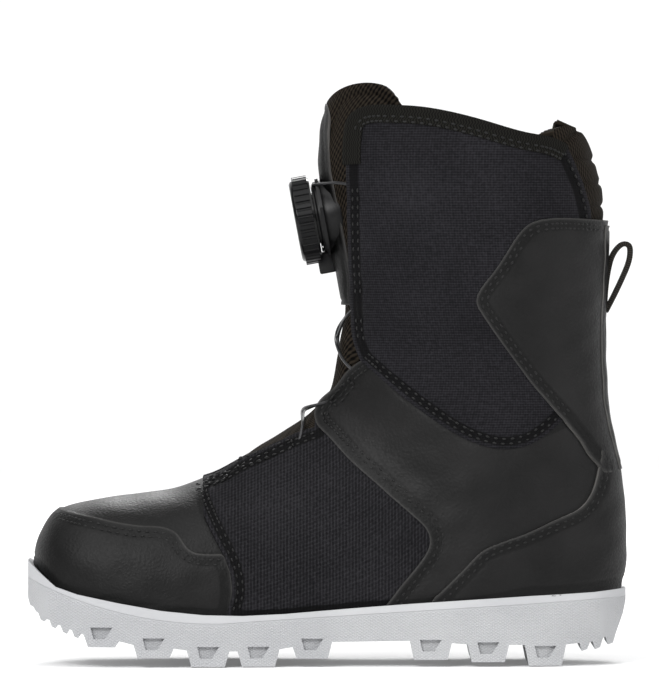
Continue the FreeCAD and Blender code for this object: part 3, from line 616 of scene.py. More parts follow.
def spacer_mesh(name, dark, light, pitch, depth_mm):
    """Knitted spacer mesh: staggered rounded holes between slanted ribs."""
    paint = Paint(name, Specular_IOR_Level=0.06)
    u, v, _ = paint.axes(paint.place("UV"))
    turn = 2 * math.pi / (pitch * MM)
    one = ((u * 0.95 + v * 0.5) * turn).math("SINE")
    two = ((u * 0.55 - v * 0.62) * turn * 0.8).math("SINE")
    fuzz = paint.noise(paint.place(), 1500.0, 2.0)
    ribs = one * 0.66 + two * 0.34
    cloth = ribs * 0.5 + 0.5 + fuzz * 0.25
    paint.feed("Base Color", paint.mix(cloth.clip(0.25, 1.0), dark, light))
    paint.feed("Roughness", 0.7 + fuzz * 0.2)
    paint.bump(cloth, depth_mm, 0.7)
    return paint.material


def webbing(name, dark, light, pitch):
    """Woven webbing or knit binding: a tight chevron of ribs."""
    paint = Paint(name, Specular_IOR_Level=0.08)
    u, v, _ = paint.axes(paint.place("UV"))
    turn = 2 * math.pi / (pitch * MM)
    slant = (u * turn + (v * turn * 0.5).math("SINE") * 1.6).math("SINE")
    fuzz = paint.noise(paint.place(), 2200.0, 2.0)
    cloth = slant * 0.4 + 0.5 + fuzz * 0.3
    paint.feed("Base Color", paint.mix(cloth.clip(0.2, 1.0), dark, light))
    paint.feed("Roughness", 0.72 + fuzz * 0.15)
    paint.bump(cloth, 0.16, 0.6)
    return paint.material


TEXTILE = weave("shaft_ripstop", (0.0036, 0.0036, 0.0044), (0.0225, 0.0216, 0.0254))
FOREFOOT_CLOTH = weave("forefoot_ripstop", (0.0036, 0.0036, 0.0044), (0.024, 0.0232, 0.0262), 1.35, 0.5)
MESH = spacer_mesh("tongue_mesh", (0.0016, 0.0013, 0.0010), (0.026, 0.0205, 0.0150), 1.45, 0.4)
BINDING = webbing("knit_binding", (0.0014, 0.0014, 0.0012), (0.0120, 0.0116, 0.0098), 1.15)
STRAP = webbing("loop_webbing", (0.006, 0.0056, 0.005), (0.032, 0.029, 0.025), 0.9)
LINING = weave("lining_fleece", (0.006, 0.006, 0.0065), (0.024, 0.024, 0.026), 2.2, 0.9, 0.25)
print("textiles made")

# %% [markdown]
# ## Rubber, plastics and steel
# The cup sole is moulded white rubber. A smooth band runs round its top, a thin groove closes it
# off, and fine crossed knurling covers the wall below. The CAD sole keeps its shape, so the
# knurling is bump and a little shade: two slanted sets of ridges, masked to the walls by the
# surface's normal and to the zone below the band by the sole's top line.

# %% Rubber, plastics and steel
KNURL_PITCH = 1.9
RUBBER_DARK = (0.45, 0.455, 0.47)
RUBBER_LIGHT = (0.525, 0.53, 0.54)
# Painted shade: the darker grey put into the knurl valleys and the groove.
RUBBER_VALLEY_SHADE = (0.33, 0.335, 0.35)


def white_rubber(name):
    """White sole rubber. The sidewall carries fine crossed knurling below its smooth band, with painted shade
    in its valleys and groove.
    """
    paint = Paint(name, Specular_IOR_Level=0.3)
    where = paint.place()
    x, y, z = paint.axes(where)
    normal = paint.node("ShaderNodeNewGeometry", output="Normal")
    _, ny, nz = paint.axes(normal)
    sideways = ny.math("ABSOLUTE").clip(0.55, 0.75)
    along = x * sideways + y * (1.0 - sideways)
    turn = 2 * math.pi / (KNURL_PITCH * MM)
    one = ((along + z * 1.6) * turn).math("SINE").clip(0.2, 0.95)
    two = ((along - z * 1.6) * turn).math("SINE").clip(0.2, 0.95)
    wall = 1.0 - nz.math("ABSOLUTE").clip(0.35, 0.6)
    from_toe = (x * -1000.0 - 48.0).math("MAXIMUM", 0.0)
    top_edge = (x * 1000.0 + 45.0).math("MAXIMUM", 0.0) * 0.062 + from_toe * from_toe * 0.0031 + 21.0
    below = top_edge - z * 1000.0
    knurled = below.clip(3.6, 4.2)
    groove = below.clip(3.1, 3.6) * (1.0 - knurled)
    grain = paint.noise(where, 900.0, 3.0)
    broad = paint.noise(where, 30.0, 2.0)
    valleys = one.math("MAXIMUM", two) * wall * knurled
    height = grain * 0.15 - valleys * 0.9 - groove * wall
    colour = paint.mix(broad.clip(0.25, 0.8), RUBBER_DARK, RUBBER_LIGHT)
    # Painted shade: the knurl valleys and the groove are mixed towards the darker grey.
    colour = paint.mix_colours(valleys * 0.3 + groove * wall * 0.5, colour, RUBBER_VALLEY_SHADE)
    paint.feed("Base Color", colour)
    paint.feed("Roughness", 0.5 + grain * 0.12)
    paint.bump(height, 0.3, 0.8)
    return paint.material


SOLE_KNURLED = white_rubber("sole_rubber_knurled")
DIAL_GLOSS = plain("dial_gloss", (0.005, 0.005, 0.0055), 0.2, 3000.0, 0.01, Specular_IOR_Level=0.22)
DIAL_GRIP = plain("dial_grip_rubber", (0.004, 0.004, 0.0044), 0.36, 2600.0, 0.02, Specular_IOR_Level=0.16)
NYLON = plain("nylon_satin", (0.005, 0.005, 0.0054), 0.36, 2000.0, 0.03, Specular_IOR_Level=0.22)
STEEL = plain("screw_steel", (0.42, 0.42, 0.44), 0.3, 1600.0, 0.02, Metallic=1.0)
LACE_COAT = plain("lace_coated_steel", (0.035, 0.035, 0.037), 0.3, 4200.0, 0.05, Metallic=0.5)
BOARD = plain("fibre_board", (0.30, 0.25, 0.18), 0.85, 700.0, 0.1)
FOAM = plain("foam_grey", (0.10, 0.10, 0.105), 0.9, 1400.0, 0.15)
print("rubber, plastic and steel made")

# %% [markdown]
# ## Where the seams run
# Every panel of the boot ends in a seam, and neighbours share one. The seams are drawn in side
# view, in millimetres, and they are the lines that cut the CAD panels too. They are kept as short
# tables of points, because a designer moves a seam by moving a few points, not a mesh.

# %% Seam lines
TOP_LINE = [(8.0, 220.5), (9.6, 225.6), (14.0, 228.8), (24.0, 229.8), (36.0, 229.2), (49.3, 227.0),
            (66.3, 222.4), (81.5, 218.2), (91.8, 215.9), (97.0, 213.2)]
REAR_TOP = [(88.6, 216.8), (93.0, 221.3), (97.5, 222.9), (102.3, 222.3), (106.5, 218.6), (110.0, 211.5)]
FLAP_EDGE = [(8.0, 220.5), (7.4, 212.0), (7.7, 199.5), (8.2, 174.0), (9.4, 148.5), (11.1, 131.6),
             (13.5, 125.5)]
QUARTER_TOP = [(13.5, 125.5), (8.3, 121.5), (2.0, 113.7), (-3.0, 109.0), (-6.2, 103.6)]
THROAT = [(-6.2, 97.8), (-12.0, 96.0), (-24.2, 90.4), (-37.4, 84.4), (-46.0, 79.6), (-57.0, 76.0)]
TOE_SEAM = [(-113.4, 65.0), (-103.5, 62.7), (-90.8, 60.0), (-78.0, 58.0), (-66.6, 56.7), (-63.0, 54.6),
            (-60.2, 50.6), (-57.0, 47.4), (-52.5, 46.3), (-43.9, 46.3)]
FOREFOOT_FRONT = [(-57.0, 76.0), (-53.8, 66.6), (-50.0, 58.2), (-46.2, 50.6), (-43.9, 46.3), (-40.6, 37.0),
                  (-40.2, 30.0), (-42.2, 23.0), (-46.0, 12.0)]
QUARTER_FRONT = [(-6.2, 103.6), (-5.2, 99.0), (-2.0, 95.6), (7.0, 86.0), (16.6, 77.4), (26.2, 69.0),
                 (35.8, 60.8), (40.4, 55.7), (41.4, 51.5), (39.6, 46.4), (35.8, 41.2), (29.4, 33.5),
                 (21.8, 25.8), (12.0, 14.0)]
SHAFT_LOW = [(13.5, 125.5), (23.8, 116.3), (41.0, 102.8), (56.0, 93.4), (69.7, 89.4), (83.2, 91.7),
             (95.2, 101.0)]
ANKLE = [(116.0, 183.4), (98.8, 184.5), (86.9, 184.0), (81.5, 182.2), (77.0, 178.0), (72.3, 170.6),
         (65.6, 160.6), (61.0, 154.0), (60.0, 150.0), (61.7, 146.0), (74.8, 126.5), (85.0, 112.8),
         (95.2, 101.0), (101.9, 92.5), (112.0, 79.0)]
COUNTER_TOP = [(118.0, 107.0), (113.6, 101.0), (110.4, 84.7), (107.2, 71.6), (103.0, 65.4), (95.3, 61.4),
               (81.0, 55.6), (70.3, 51.7), (63.8, 48.8), (59.5, 45.2), (52.3, 38.0), (43.0, 29.5),
               (28.0, 12.0)]
COLLAR_EDGE = [(96.9, 230.0), (97.0, 213.2), (102.8, 201.0), (105.4, 193.0), (107.2, 183.9)]
TONGUE_TOP = [(-4.4, 222.0), (-2.0, 230.0), (0.9, 235.0), (6.9, 239.0), (16.2, 240.6), (22.2, 239.4),
              (26.4, 236.0), (30.7, 229.7)]
TONGUE_HALF = [(100, 12.5), (152, 12.5), (176, 19.5), (200, 23.5), (212, 24.5), (300, 24.5)]

print("shaft top line of", len(TOP_LINE), "points; toe seam of", len(TOE_SEAM))

# %% [markdown]
# ## From side view on to the surface
# A stitch or a lace needs a real place in space, and the seams only say where it is in side view.
# One fine grid over the upper goes into a search tree, and a ray shot across the boot finds the
# skin. Working the surface's formula backwards would be exact, but slow and awkward at the toe.

# %% Finding a place on the skin
SKIN_ROWS = 239
SKIN_COLUMNS = 200
TOO_FAR_OVER = -12.0


def skin_tree():
    """A search tree over the upper, in mm."""
    bm = bmesh.new()
    bmesh.ops.create_grid(bm, x_segments=SKIN_ROWS, y_segments=SKIN_COLUMNS, size=0.5)
    flat = np.array([vert.co for vert in bm.verts])
    for vert, place in zip(bm.verts, upper(flat[:, 0] + 0.5, flat[:, 1] * 2)):
        vert.co = place
    bm.normal_update()
    print("surface tree over", len(bm.faces), "faces")
    return BVHTree.FromBMesh(bm)


SKIN = skin_tree()


def on_side(x, z, side, lift=0.0):
    """The surface point at a side-view place, raised along its normal, and that normal. All in mm."""
    far = Vector((x, side * 150.0, z))
    hit, normal, _, _ = SKIN.ray_cast(far, Vector((0, -side, 0)))
    if hit is None or hit.y * side < TOO_FAR_OVER:
        hit, normal, _, _ = SKIN.find_nearest(Vector((x, side * 3.0, z)))
    middle = Vector((55.0 if hit.z > 95 else hit.x, 0.0, hit.z if hit.z > 95 else 45.0))
    if normal.dot(hit - middle) < 0:
        normal = -normal
    return hit + normal * lift, normal


print("shaft at mid height:", [round(v, 1) for v in on_side(60.0, 160.0, -1)[0]])

# %% [markdown]
# ## Stitches
# Each seam of the boot is held by two rows of thick thread, and each stitch shows as a short fat
# bead that pulls its row down. Bump could fake them, but they catch the light and break the
# outline of an edge, so each is a real capsule, with only a few dozen faces because there are so
# many. All the stitches of a row group become one mesh, which rides with the panel they hold.

# %% Stitch rows
def offset_line(line, distance):
    """A side-view line moved sideways (to its left if the distance is above nought)."""
    way = np.gradient(line, axis=0)
    way /= np.linalg.norm(way, axis=1)[:, None]
    return line + distance * np.stack([-way[:, 1], way[:, 0]], axis=1)


PITCH = 2.15
STITCH_LENGTH = 1.75
STITCH_WIDTH = 0.46
STITCH_HEIGHT = 0.42
SHORTEST_GAP = 0.5
LONGEST_GAP = 6.0


def place_stitches(bm, points, normals):
    """Adds one capsule between each two neighbouring places."""
    for a, b, n in zip(points[:-1], points[1:], normals[:-1]):
        along = (b - a)
        gap = along.length
        if gap < SHORTEST_GAP or gap > LONGEST_GAP:
            continue
        along.normalize()
        up = (n - along * n.dot(along)).normalized()
        out = along.cross(up)
        centre = Vector(to_frame(np.array((a + b) / 2)))
        turn = Matrix((along, out, up)).transposed().to_4x4()
        long = min(STITCH_LENGTH, gap * 0.86) / 2
        size = Matrix.Diagonal((long * MM, STITCH_WIDTH * MM, STITCH_HEIGHT * MM, 1.0))
        place = Matrix.Translation(centre) @ turn @ size @ Matrix.Rotation(math.pi / 2, 4, "Y")
        bmesh.ops.create_uvsphere(bm, u_segments=7, v_segments=6, radius=1.0, matrix=place)


def stitch_rows(name, rows, lift):
    """Stitches along side-view lines, on both sides. A row is (points, offset to the left)."""
    bm = bmesh.new()
    for line, shift in rows:
        even = smooth_line(line, 0.6)
        moved = smooth_line(offset_line(even, shift), PITCH * 0.8)
        for _, side in SIDES:
            found = [on_side(x, z, side, lift) for x, z in moved]
            points = [found[0][0]]
            normals = [found[0][1]]
            for point, normal in found[1:]:
                if (point - points[-1]).length >= PITCH * 0.92:
                    points.append(point)
                    normals.append(normal)
            place_stitches(bm, points, normals)
    made = finish_mesh(name, bm, [THREAD])
    print(name, len(made.data.polygons), "faces")
    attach(made, "boot")


print("stitches every", PITCH, "mm")

# %% [markdown]
# ## Relief near a sewn edge
# Thread pulls leather down along its row and lets it swell between rows, and the cut edge lies
# flat at its lip. Sculpting would do it for one panel. Here it is a height over the distance from
# the edge, so the same few lines serve every panel. A slight slow wave over the whole boot stops
# any panel from looking like a perfect surface.

# %% Relief near a sewn edge
def sewn(*rows, edge=0.1, puff=0.0):
    """A lip at the cut edge, then a sunk channel where the rows of stitches pull the panel down."""
    def relief(inside, points):
        up = -edge * np.exp(-(inside / 0.6) ** 2)
        for row in rows:
            up -= 0.42 * np.exp(-((inside - row) / 0.62) ** 2)
        if puff:
            up += puff * (1 - np.exp(-(np.clip(inside - 4.0, 0, None) / 6.0) ** 2))
        return up
    return relief


WAVE_HEIGHT = 0.16


def creases(points):
    """Very slight hollows and swells, so that no panel is a perfect surface."""
    x, y, z = points[:, 0], points[:, 1], points[:, 2]
    waves = np.sin(x * 0.31 + z * 0.11 + 1.3) * np.sin(z * 0.27 - x * 0.07 + y * 0.05)
    waves += 0.5 * np.sin(x * 0.13 - z * 0.47 + y * 0.21)
    return WAVE_HEIGHT * waves


def both(*reliefs):
    """Several reliefs at once."""
    return lambda inside, points: sum(r(inside, points) for r in reliefs)


def wavy(_, points):
    """Only the slow wave, whatever the distance from the edge."""
    return creases(points)


print("slow wave at the instep, in mm:", creases(np.array([[0.0, 0.0, 100.0]])).round(3))

# %% [markdown]
# ## Toe cap and vamp
# The toe cap is the tough panel that wraps the front of the foot, and the vamp is the softer
# panel behind it, over the toes. Each panel is its own sheet. Where two meet, the one underneath
# runs on a few millimetres below the one on top, as it does when it is sewn, and the top one's
# edge is thick and rounded. One mesh with drawn-on seams would be lighter, but it would show no
# edge where panels overlap.

# %% Toe cap and vamp
def fit(piece, node):
    """A finished piece of the boot's shell, standing for its CAD node."""
    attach(piece, "boot")
    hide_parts(node)


def panel(name, loop, v_range, u_low_high, inset, material, relief, thickness, edge=None,
          cloth="shaft", round_by=0.4):
    """One panel on each side, named by side, standing for the CAD node of that name."""
    for word, side in SIDES:
        u_range = side_range(side, *u_low_high)
        piece = surface_sheet(f"{name}_{word}", loop, v_range, u_range, inset, [material, edge or material],
                              relief=relief, cloth=cloth)
        thicken(piece, thickness, rim_slot=1, round_by=round_by)
        fit(piece, f"{name}_{word}")


SEWN_PAIR = sewn(2.2, 4.2)
SOLE_TOP = [(-126.0, 44.0), (-120.0, 38.5), (-113.0, 32.6), (-104.0, 29.6), (-86.5, 26.0), (-69.5, 23.0),
            (-52.0, 21.2), (-36.0, 20.8), (-19.0, 21.5), (7.0, 23.6), (32.0, 25.5), (58.0, 27.2),
            (83.0, 28.8), (109.0, 30.0), (126.0, 31.5)]
sole_low = smooth_line(SOLE_TOP, 2.0) - np.array([0.0, 2.5])

toe_loop = outline([(-113.4, 90.0), (-113.4, 65.0)], TOE_SEAM, FOREFOOT_FRONT[4:7],
                   sole_low[(sole_low[:, 0] < -41)][::-1], [(-135.0, 42.0), (-135.0, 90.0)])
toe_cap = surface_sheet("toe_cap", toe_loop, (-0.02, 0.42), (-1.0, 1.0), 0.15, [LEATHER_SMOOTH, CUT_EDGE],
                        relief=both(SEWN_PAIR, wavy), cloth="foot")
thicken(toe_cap, 1.5, rim_slot=1)
fit(toe_cap, "toe_cap")

vamp_loop = outline([(-128.0, 62.0), (-113.4, 58.0)],
                    [(-103.5, 55.7), (-90.8, 53.0), (-78.0, 51.0), (-66.6, 49.7)],
                    [(-58.0, 42.0), (-38.0, 42.0)],
                    [(-42.0, 50.6), (-46.0, 58.2), (-49.8, 66.6), (-50.0, 79.0)],
                    [(-57.0, 95.0), (-128.0, 95.0)])
vamp = surface_sheet("vamp", vamp_loop, (0.0, 0.42), (-0.95, 0.95), 1.0, [LEATHER_SMOOTH, LEATHER_SMOOTH],
                     relief=wavy, cloth="foot")
thicken(vamp, 1.4)
fit(vamp, "vamp")

# %% [markdown]
# ## Forefoot cloth, quarters, shaft and ankle straps
# The forefoot and the shaft are cloth, where the boot has to bend, and the quarter round the
# instep and the strap-shaped overlay that swings back round the heel are leather, where it has
# to hold. They differ only in outline, height, finish and which rows of stitches sink into them,
# so one function makes each pair.

# %% Forefoot cloth and quarters
fore_loop = outline([(-6.2, 103.6), (-6.2, 97.8)], THROAT, FOREFOOT_FRONT[:-1],
                    sole_low[(sole_low[:, 0] > -42) & (sole_low[:, 0] < 30)],
                    [(34.0, 22.0), (38.0, 34.0), (46.0, 46.0), (46.0, 56.0), (30.0, 74.0), (14.0, 88.0),
                     (-2.0, 103.0)])
panel("forefoot_panel", fore_loop, (0.22, 0.75), (0.0, 1.0), -0.45, FOREFOOT_CLOTH,
      both(SEWN_PAIR, wavy), 1.5, cloth="foot")

quarter_loop = outline(QUARTER_TOP[::-1],
                       [(13.5, 125.5), (17.0, 130.0), (30.0, 118.0), (44.0, 108.0), (57.0, 99.0),
                        (70.0, 95.5), (84.0, 98.0), (98.0, 104.0)],
                       [(130.0, 96.0), (130.0, 60.0), (130.0, 40.0), (130.0, 29.0)],
                       sole_low[(sole_low[:, 0] > 20)][::-1], QUARTER_FRONT[:-2][::-1])
panel("quarter", quarter_loop, (0.34, 0.80), (0.0, 1.0), -0.95, LEATHER,
      both(sewn(3.4, 5.4), wavy), 1.6, edge=CUT_EDGE)

# %% Shaft cloth and ankle straps
shaft_loop = outline(FLAP_EDGE[::-1], TOP_LINE, COLLAR_EDGE[1:],
                     [(107.2, 179.0), (120.0, 179.0), (120.0, 120.0), (104.0, 104.0), (95.2, 101.0)],
                     SHAFT_LOW[::-1])
panel("shaft_panel", shaft_loop, (0.50, 1.0), (0.0, 0.985), -1.3, TEXTILE,
      both(sewn(2.2, 4.2, puff=0.3), wavy), 1.7, round_by=0.5)

ankle_loop = outline(ANKLE[:-1], [(106.0, 86.0), (112.0, 79.0)], [(135.0, 79.0), (135.0, 183.4)])
panel("ankle_overlay", ankle_loop, (0.45, 0.92), (0.2, 1.0), -2.1, LEATHER,
      both(SEWN_PAIR, wavy), 1.7, edge=CUT_EDGE)
print("shell panels laid")

# %% [markdown]
# ## Heel counter and backstay
# The heel counter cups the heel, and the backstay is the strip of leather that covers the seam up
# the back. Both go round the back in one piece, so their grids cross the middle line. Two halves
# with a seam would be simpler to lay, but there is no seam there on the real boot.

# %% Heel counter and backstay
counter_low = sole_low[sole_low[:, 0] > 39]
raised = np.interp(counter_low[:, 0], [60, 85], [0, 3.2])
counter_low = counter_low + np.stack([0 * raised, raised], axis=1)
counter_loop = outline(COUNTER_TOP[:-1], counter_low, [(140.0, 31.5), (140.0, 107.0)])
counter = surface_sheet("heel_counter", counter_loop, (0.30, 0.80), (0.45, 1.75), -2.1, [LEATHER, CUT_EDGE],
                        relief=both(SEWN_PAIR, wavy), cloth="foot")
thicken(counter, 1.6, rim_slot=1)
fit(counter, "heel_counter")


def backstay_edge(points):
    """Distance past the edge of the strip up the back."""
    x, y, z = points.T
    wide = np.where(x > 60, np.abs(y), 99.0)
    return np.maximum(wide - 13.0 + np.clip(110 - z, 0, 40) * 0.12, np.maximum(80 - z, z - 181.5))


backstay = surface_sheet("backstay", backstay_edge, (0.5, 0.95), (0.75, 1.45), -2.7, [LEATHER, CUT_EDGE],
                         cell=1.1, relief=both(sewn(1.6), wavy))
thicken(backstay, 1.4, rim_slot=1)
fit(backstay, "backstay")

# %% [markdown]
# ## Rear collar
# A thick foam pad covered in mesh, which keeps the shaft's edge off the leg. It is sewn through
# in channels, so it swells between them like a quilt. A cloth simulation could swell it, but the
# pad is thin and held all round, so its channels are cut into the sheet's height before the
# thickness is grown, and a wide soft bevel rounds its rim.

# %% Rear collar
def channels(inside, points):
    """Sewn channels across the collar pad, and a pad that swells between them."""
    z = points[:, 2] + 0.10 * (points[:, 0] - 100.0)
    up = 0.9 * (1 - np.exp(-(inside / 3.5) ** 2))
    for low in (191.0, 200.5, 210.0):
        up -= 1.1 * np.exp(-((z - low) / 1.1) ** 2)
    slant = (points[:, 0] - 99.5) * 0.64 + (points[:, 2] - 217.5) * 0.77 * -1
    upper_part = np.clip((points[:, 2] - 210) / 4, 0, 1)
    return up - upper_part * 1.3 * np.exp(-((slant) / 1.0) ** 2)


collar_loop = outline([(92.0, 216.8), (93.0, 221.3)], REAR_TOP[1:],
                      [(110.0, 211.5), (112.0, 205.0), (140.0, 205.0), (140.0, 180.0)],
                      [(104.0, 180.0), (100.0, 193.0), (97.0, 201.0), (90.0, 212.0)])
collar = surface_sheet("rear_collar", collar_loop, (0.6, 1.0), (0.6, 1.6), 0.9, [MESH, MESH], cell=1.2,
                       relief=channels)
thicken(collar, 8.5, rim_slot=1, round_by=2.6, segments=4)
fit(collar, "rear_collar")

# %% [markdown]
# ## Lining and the parts inside
# The liner is a soft fleece-faced boot inside the boot. It only shows at the top, but a closed
# shell all the way down keeps light out and looks right from above. It is laid on the same
# surface, further in. The sole, the footbed and the boards keep their CAD shapes, which are
# right already, and only get their finishes.

# %% Padded lining and inner parts
lining_top = outline([(-60.0, 300.0), (8.0, 300.0)],
                     [(8.0, 222.0), (22.0, 225.2), (49.3, 222.6), (66.3, 218.8), (86.0, 214.5),
                      (104.0, 213.0), (110.0, 208.0)],
                     [(140.0, 207.0), (140.0, 300.0)])


def lining_edge(points):
    """Past the top line, or ahead of the front edges where the tongue stands."""
    x, _, z = points.T
    top = -signed_distance(x, z, lining_top)
    front = np.minimum(24.0 - x, z - 108.0)
    return np.maximum(top, front)


def refinish(finish, *names):
    """Gives CAD nodes that keep their shapes a real finish."""
    for name in names:
        node = frame["nodes"][name]
        node.data.materials.clear()
        node.data.materials.append(finish)


lining = surface_sheet("lining", lining_edge, (0.02, 1.0), (0.0, 2.2), 2.6, [LINING, LINING], cell=2.6,
                       relief=wavy)
thicken(lining, 7.2, round_by=2.4, segments=4)
fit(lining, "liner")
refinish(LINING, "footbed")
refinish(FOAM, "midsole")
refinish(BOARD, "strobel_sole", "lasting_board", "heel_stiffener", "toe_stiffener")
refinish(NYLON, "shank")
refinish(SOLE_KNURLED, "outsole")
print("heel, collar and lining laid")

# %% [markdown]
# ## The tongue's shape
# The tongue is a padded U in plan that stands between the shaft's flaps and folds forwards when
# the lace is slack. It isn't part of the upper's surface, so it has a formula of its own: a
# squarish arc across, whose front follows the boot's crest line. Its sheets are cut flat and then
# bent round, as the panels are.

# %% Tongue shape
HALF_Z, HALF_Y = np.array(TONGUE_HALF, float).T
CREST = upper(np.linspace(0, 1, 400), 0.0)
REAR_LINE = np.array([(119.0, 11.5), (152.0, 15.0), (178.0, 24.0), (205.0, 29.5), (229.7, 30.7),
                      (245.0, 31.0)])
ROUND = 2.5
HALF_GIRTH = 39


def crest_x(z):
    """How far forwards the upper's crest is at a height."""
    return np.interp(z, CREST[:, 2], CREST[:, 0])


def tongue_x(y, z, depth):
    """How far forwards the tongue's skin reaches at a width and height."""
    rear = np.interp(z, REAR_LINE[:, 0], REAR_LINE[:, 1])
    reach = rear - crest_x(z) - depth
    share = np.clip(np.abs(y) / (np.interp(z, HALF_Z, HALF_Y) - depth), 0, 1)
    return rear - reach * (1 - share ** ROUND) ** (1 / ROUND)


def tongue_sheet(name, loop, heights, turn, depth, materials, cell, relief):
    """A sheet on the tongue's U, cut to a side-view outline. turn is its share of the half circle."""
    low, high = heights
    bm = bmesh.new()
    rows = int((high - low) / cell)
    columns = int(2 * HALF_GIRTH * turn / cell)
    bmesh.ops.create_grid(bm, x_segments=rows, y_segments=columns, size=0.5)
    flat = np.array([vert.co for vert in bm.verts])

    def place(z, s, deep):
        phi = math.pi / 2 * s * turn
        rear = np.interp(z, REAR_LINE[:, 0], REAR_LINE[:, 1])
        wide = np.interp(z, HALF_Z, HALF_Y) - deep
        x = rear - (rear - crest_x(z) - deep) * np.abs(np.cos(phi)) ** (2 / ROUND)
        return np.stack([x, np.sign(s) * wide * np.abs(np.sin(phi)) ** (2 / ROUND), z], axis=1)

    z = low + (flat[:, 0] + 0.5) * (high - low)
    s = flat[:, 1] * 2
    points = place(z, s, depth(z) if callable(depth) else np.full(len(z), depth))
    distance = signed_distance(points[:, 0], points[:, 2], loop)
    for vert, a, b, d in zip(bm.verts, z, s, distance):
        vert.co = a * CUT_SCALE, b, d * CUT_SCALE
    everything = bm.verts[:] + bm.edges[:] + bm.faces[:]
    bmesh.ops.bisect_plane(bm, geom=everything, plane_co=(0, 0, 0), plane_no=(0, 0, 1), clear_outer=True)
    bmesh.ops.delete(bm, geom=[vert for vert in bm.verts if not vert.link_faces], context="VERTS")
    bm.verts.index_update()
    flat = np.array([vert.co for vert in bm.verts])
    z, s, inside = flat[:, 0] / CUT_SCALE, flat[:, 1], -flat[:, 2] / CUT_SCALE
    deep = depth(z) if callable(depth) else np.full(len(z), float(depth))
    deep = deep - relief(inside, place(z, s, deep))
    points = to_frame(place(z, s, deep))
    uv = bm.loops.layers.uv.new("cloth")
    edge_mm = bm.verts.layers.float.new("edge_mm")
    for vert, p, across, up, d in zip(bm.verts, points, s * HALF_GIRTH * turn * MM, z * MM, inside):
        vert.co = p
        vert[edge_mm] = d
        for corner in vert.link_loops:
            corner[uv].uv = across, up
    bmesh.ops.remove_doubles(bm, verts=bm.verts, dist=SAME_PLACE)
    bmesh.ops.recalc_face_normals(bm, faces=bm.faces)
    front = min(bm.faces, key=lambda f: f.calc_center_median().x)
    if front.normal.x > 0:
        bmesh.ops.reverse_faces(bm, faces=bm.faces)
    made = finish_mesh(name, bm, materials)
    print(name, len(made.data.polygons), "faces")
    return made


print("tongue front at the dial, in mm:", round(float(tongue_x(0.0, 184.0, 0.0)), 1))

# %% [markdown]
# ## Padded tongue, cover and lower mesh
# The upper tongue is a mesh-faced pad with a rolled rim, and a leather cover on its front carries
# the dial. The pad's rim and groove are cut into its height, then the thickness and a wide bevel
# make it soft. Below the hinge the tongue is thin mesh, fixed to the boot at its lower end. That
# piece crosses the joint: its foot lies on the boot's surface, and its head is eased on to the
# tongue's rounder front.

# %% Padded tongue and leather cover
tongue_loop = outline([(-30.0, 119.0), (-30.0, 222.0), (-4.4, 222.0)], TONGUE_TOP,
                      [(30.7, 229.7), (60.0, 226.0), (60.0, 119.0)])


def pad_depth(z):
    """How far the pad's skin lies below the crest line: deeper under the flaps' overlap."""
    return np.interp(z, [119, 148, 154, 250], [4.4, 3.6, 0.9, 0.9])


def pad_swell(inside, _):
    """A knit rim is turned over the top of the tongue: it stands a little proud, with a groove below it."""
    up = 0.7 * np.exp(-(inside / 3.4) ** 4) + 0.5 * (1 - np.exp(-(np.clip(inside - 5.4, 0, None) / 3.0) ** 2))
    return up - 0.9 * np.exp(-((inside - 4.7) / 0.9) ** 2)


pad = tongue_sheet("tongue_pad", tongue_loop, (123.0, 241.5), 1.0, pad_depth, [MESH, BINDING], 1.2, pad_swell)
thicken(pad, 7.0, rim_slot=1, round_by=2.6, segments=4)
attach(pad, "tongue")
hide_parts("tongue_pad", "tongue_rim")

cover_loop = outline([(-30.0, 148.5), (-30.0, 234.0)],
                     [(-3.0, 234.0), (-1.4, 231.0), (-1.0, 223.0), (-0.8, 212.0), (0.6, 200.0),
                      (3.2, 188.0), (6.2, 173.5), (8.3, 160.0), (9.0, 148.5)])
cover = tongue_sheet("tongue_cover", cover_loop, (147.0, 236.0), 0.9, -0.35, [LEATHER_SMOOTH, CUT_EDGE], 1.1,
                     both(sewn(2.0), wavy))
thicken(cover, 1.3, rim_slot=1)
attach(cover, "tongue")
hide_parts("tongue_cover")

# %% Lower tongue across the hinge
lower_loop = outline([(-64.0, 71.5), (-46.0, 73.5)],
                     [(-24.0, 83.5), (-9.0, 90.0), (0.0, 98.0), (10.0, 111.0)],
                     [(22.0, 121.0), (22.0, 153.0), (-30.0, 153.0), (-30.0, 115.0), (-64.0, 90.0)])


def lower_edge(points):
    """Distance past the edge of the lower tongue, which narrows towards the hinge."""
    x, y, z = points.T
    limit = np.interp(z, [100, 112, 124, 160], [60, 30, 13.5, 13.5])
    return np.maximum(signed_distance(x, z, lower_loop), np.abs(y) - limit)


def to_tongue(points):
    """Eases the sheet from the boot's surface on to the tongue's rounder front."""
    x, y, z = points.T
    share = np.clip((z - 112) / 16, 0, 1)
    share = share * share * (3 - 2 * share)
    ahead = tongue_x(np.clip(y, -12.4, 12.4), z, 0.4 + np.clip((z - 140) / 10, 0, 1) * 1.2)
    return np.stack([x + share * (ahead - x), y, z], axis=1)


lower = surface_sheet("lower_tongue", lower_edge, (0.2, 0.72), (-0.5, 0.5), 2.3, [MESH, MESH], 1.2, wavy,
                      bend=to_tongue)
thicken(lower, 2.4, round_by=0.6)
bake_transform(lower)
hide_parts("lower_tongue")

# %% [markdown]
# ## Binding along the top
# The shaft's raw top edge is bound in knit tape, folded over it and sewn through. The tape is one
# more sheet on the surface, laid just over the shaft cloth. Its outline is the top edge moved out
# a little, and the same edge moved in by the tape's width. A swept profile would twist where the
# edge turns the corner at the front.

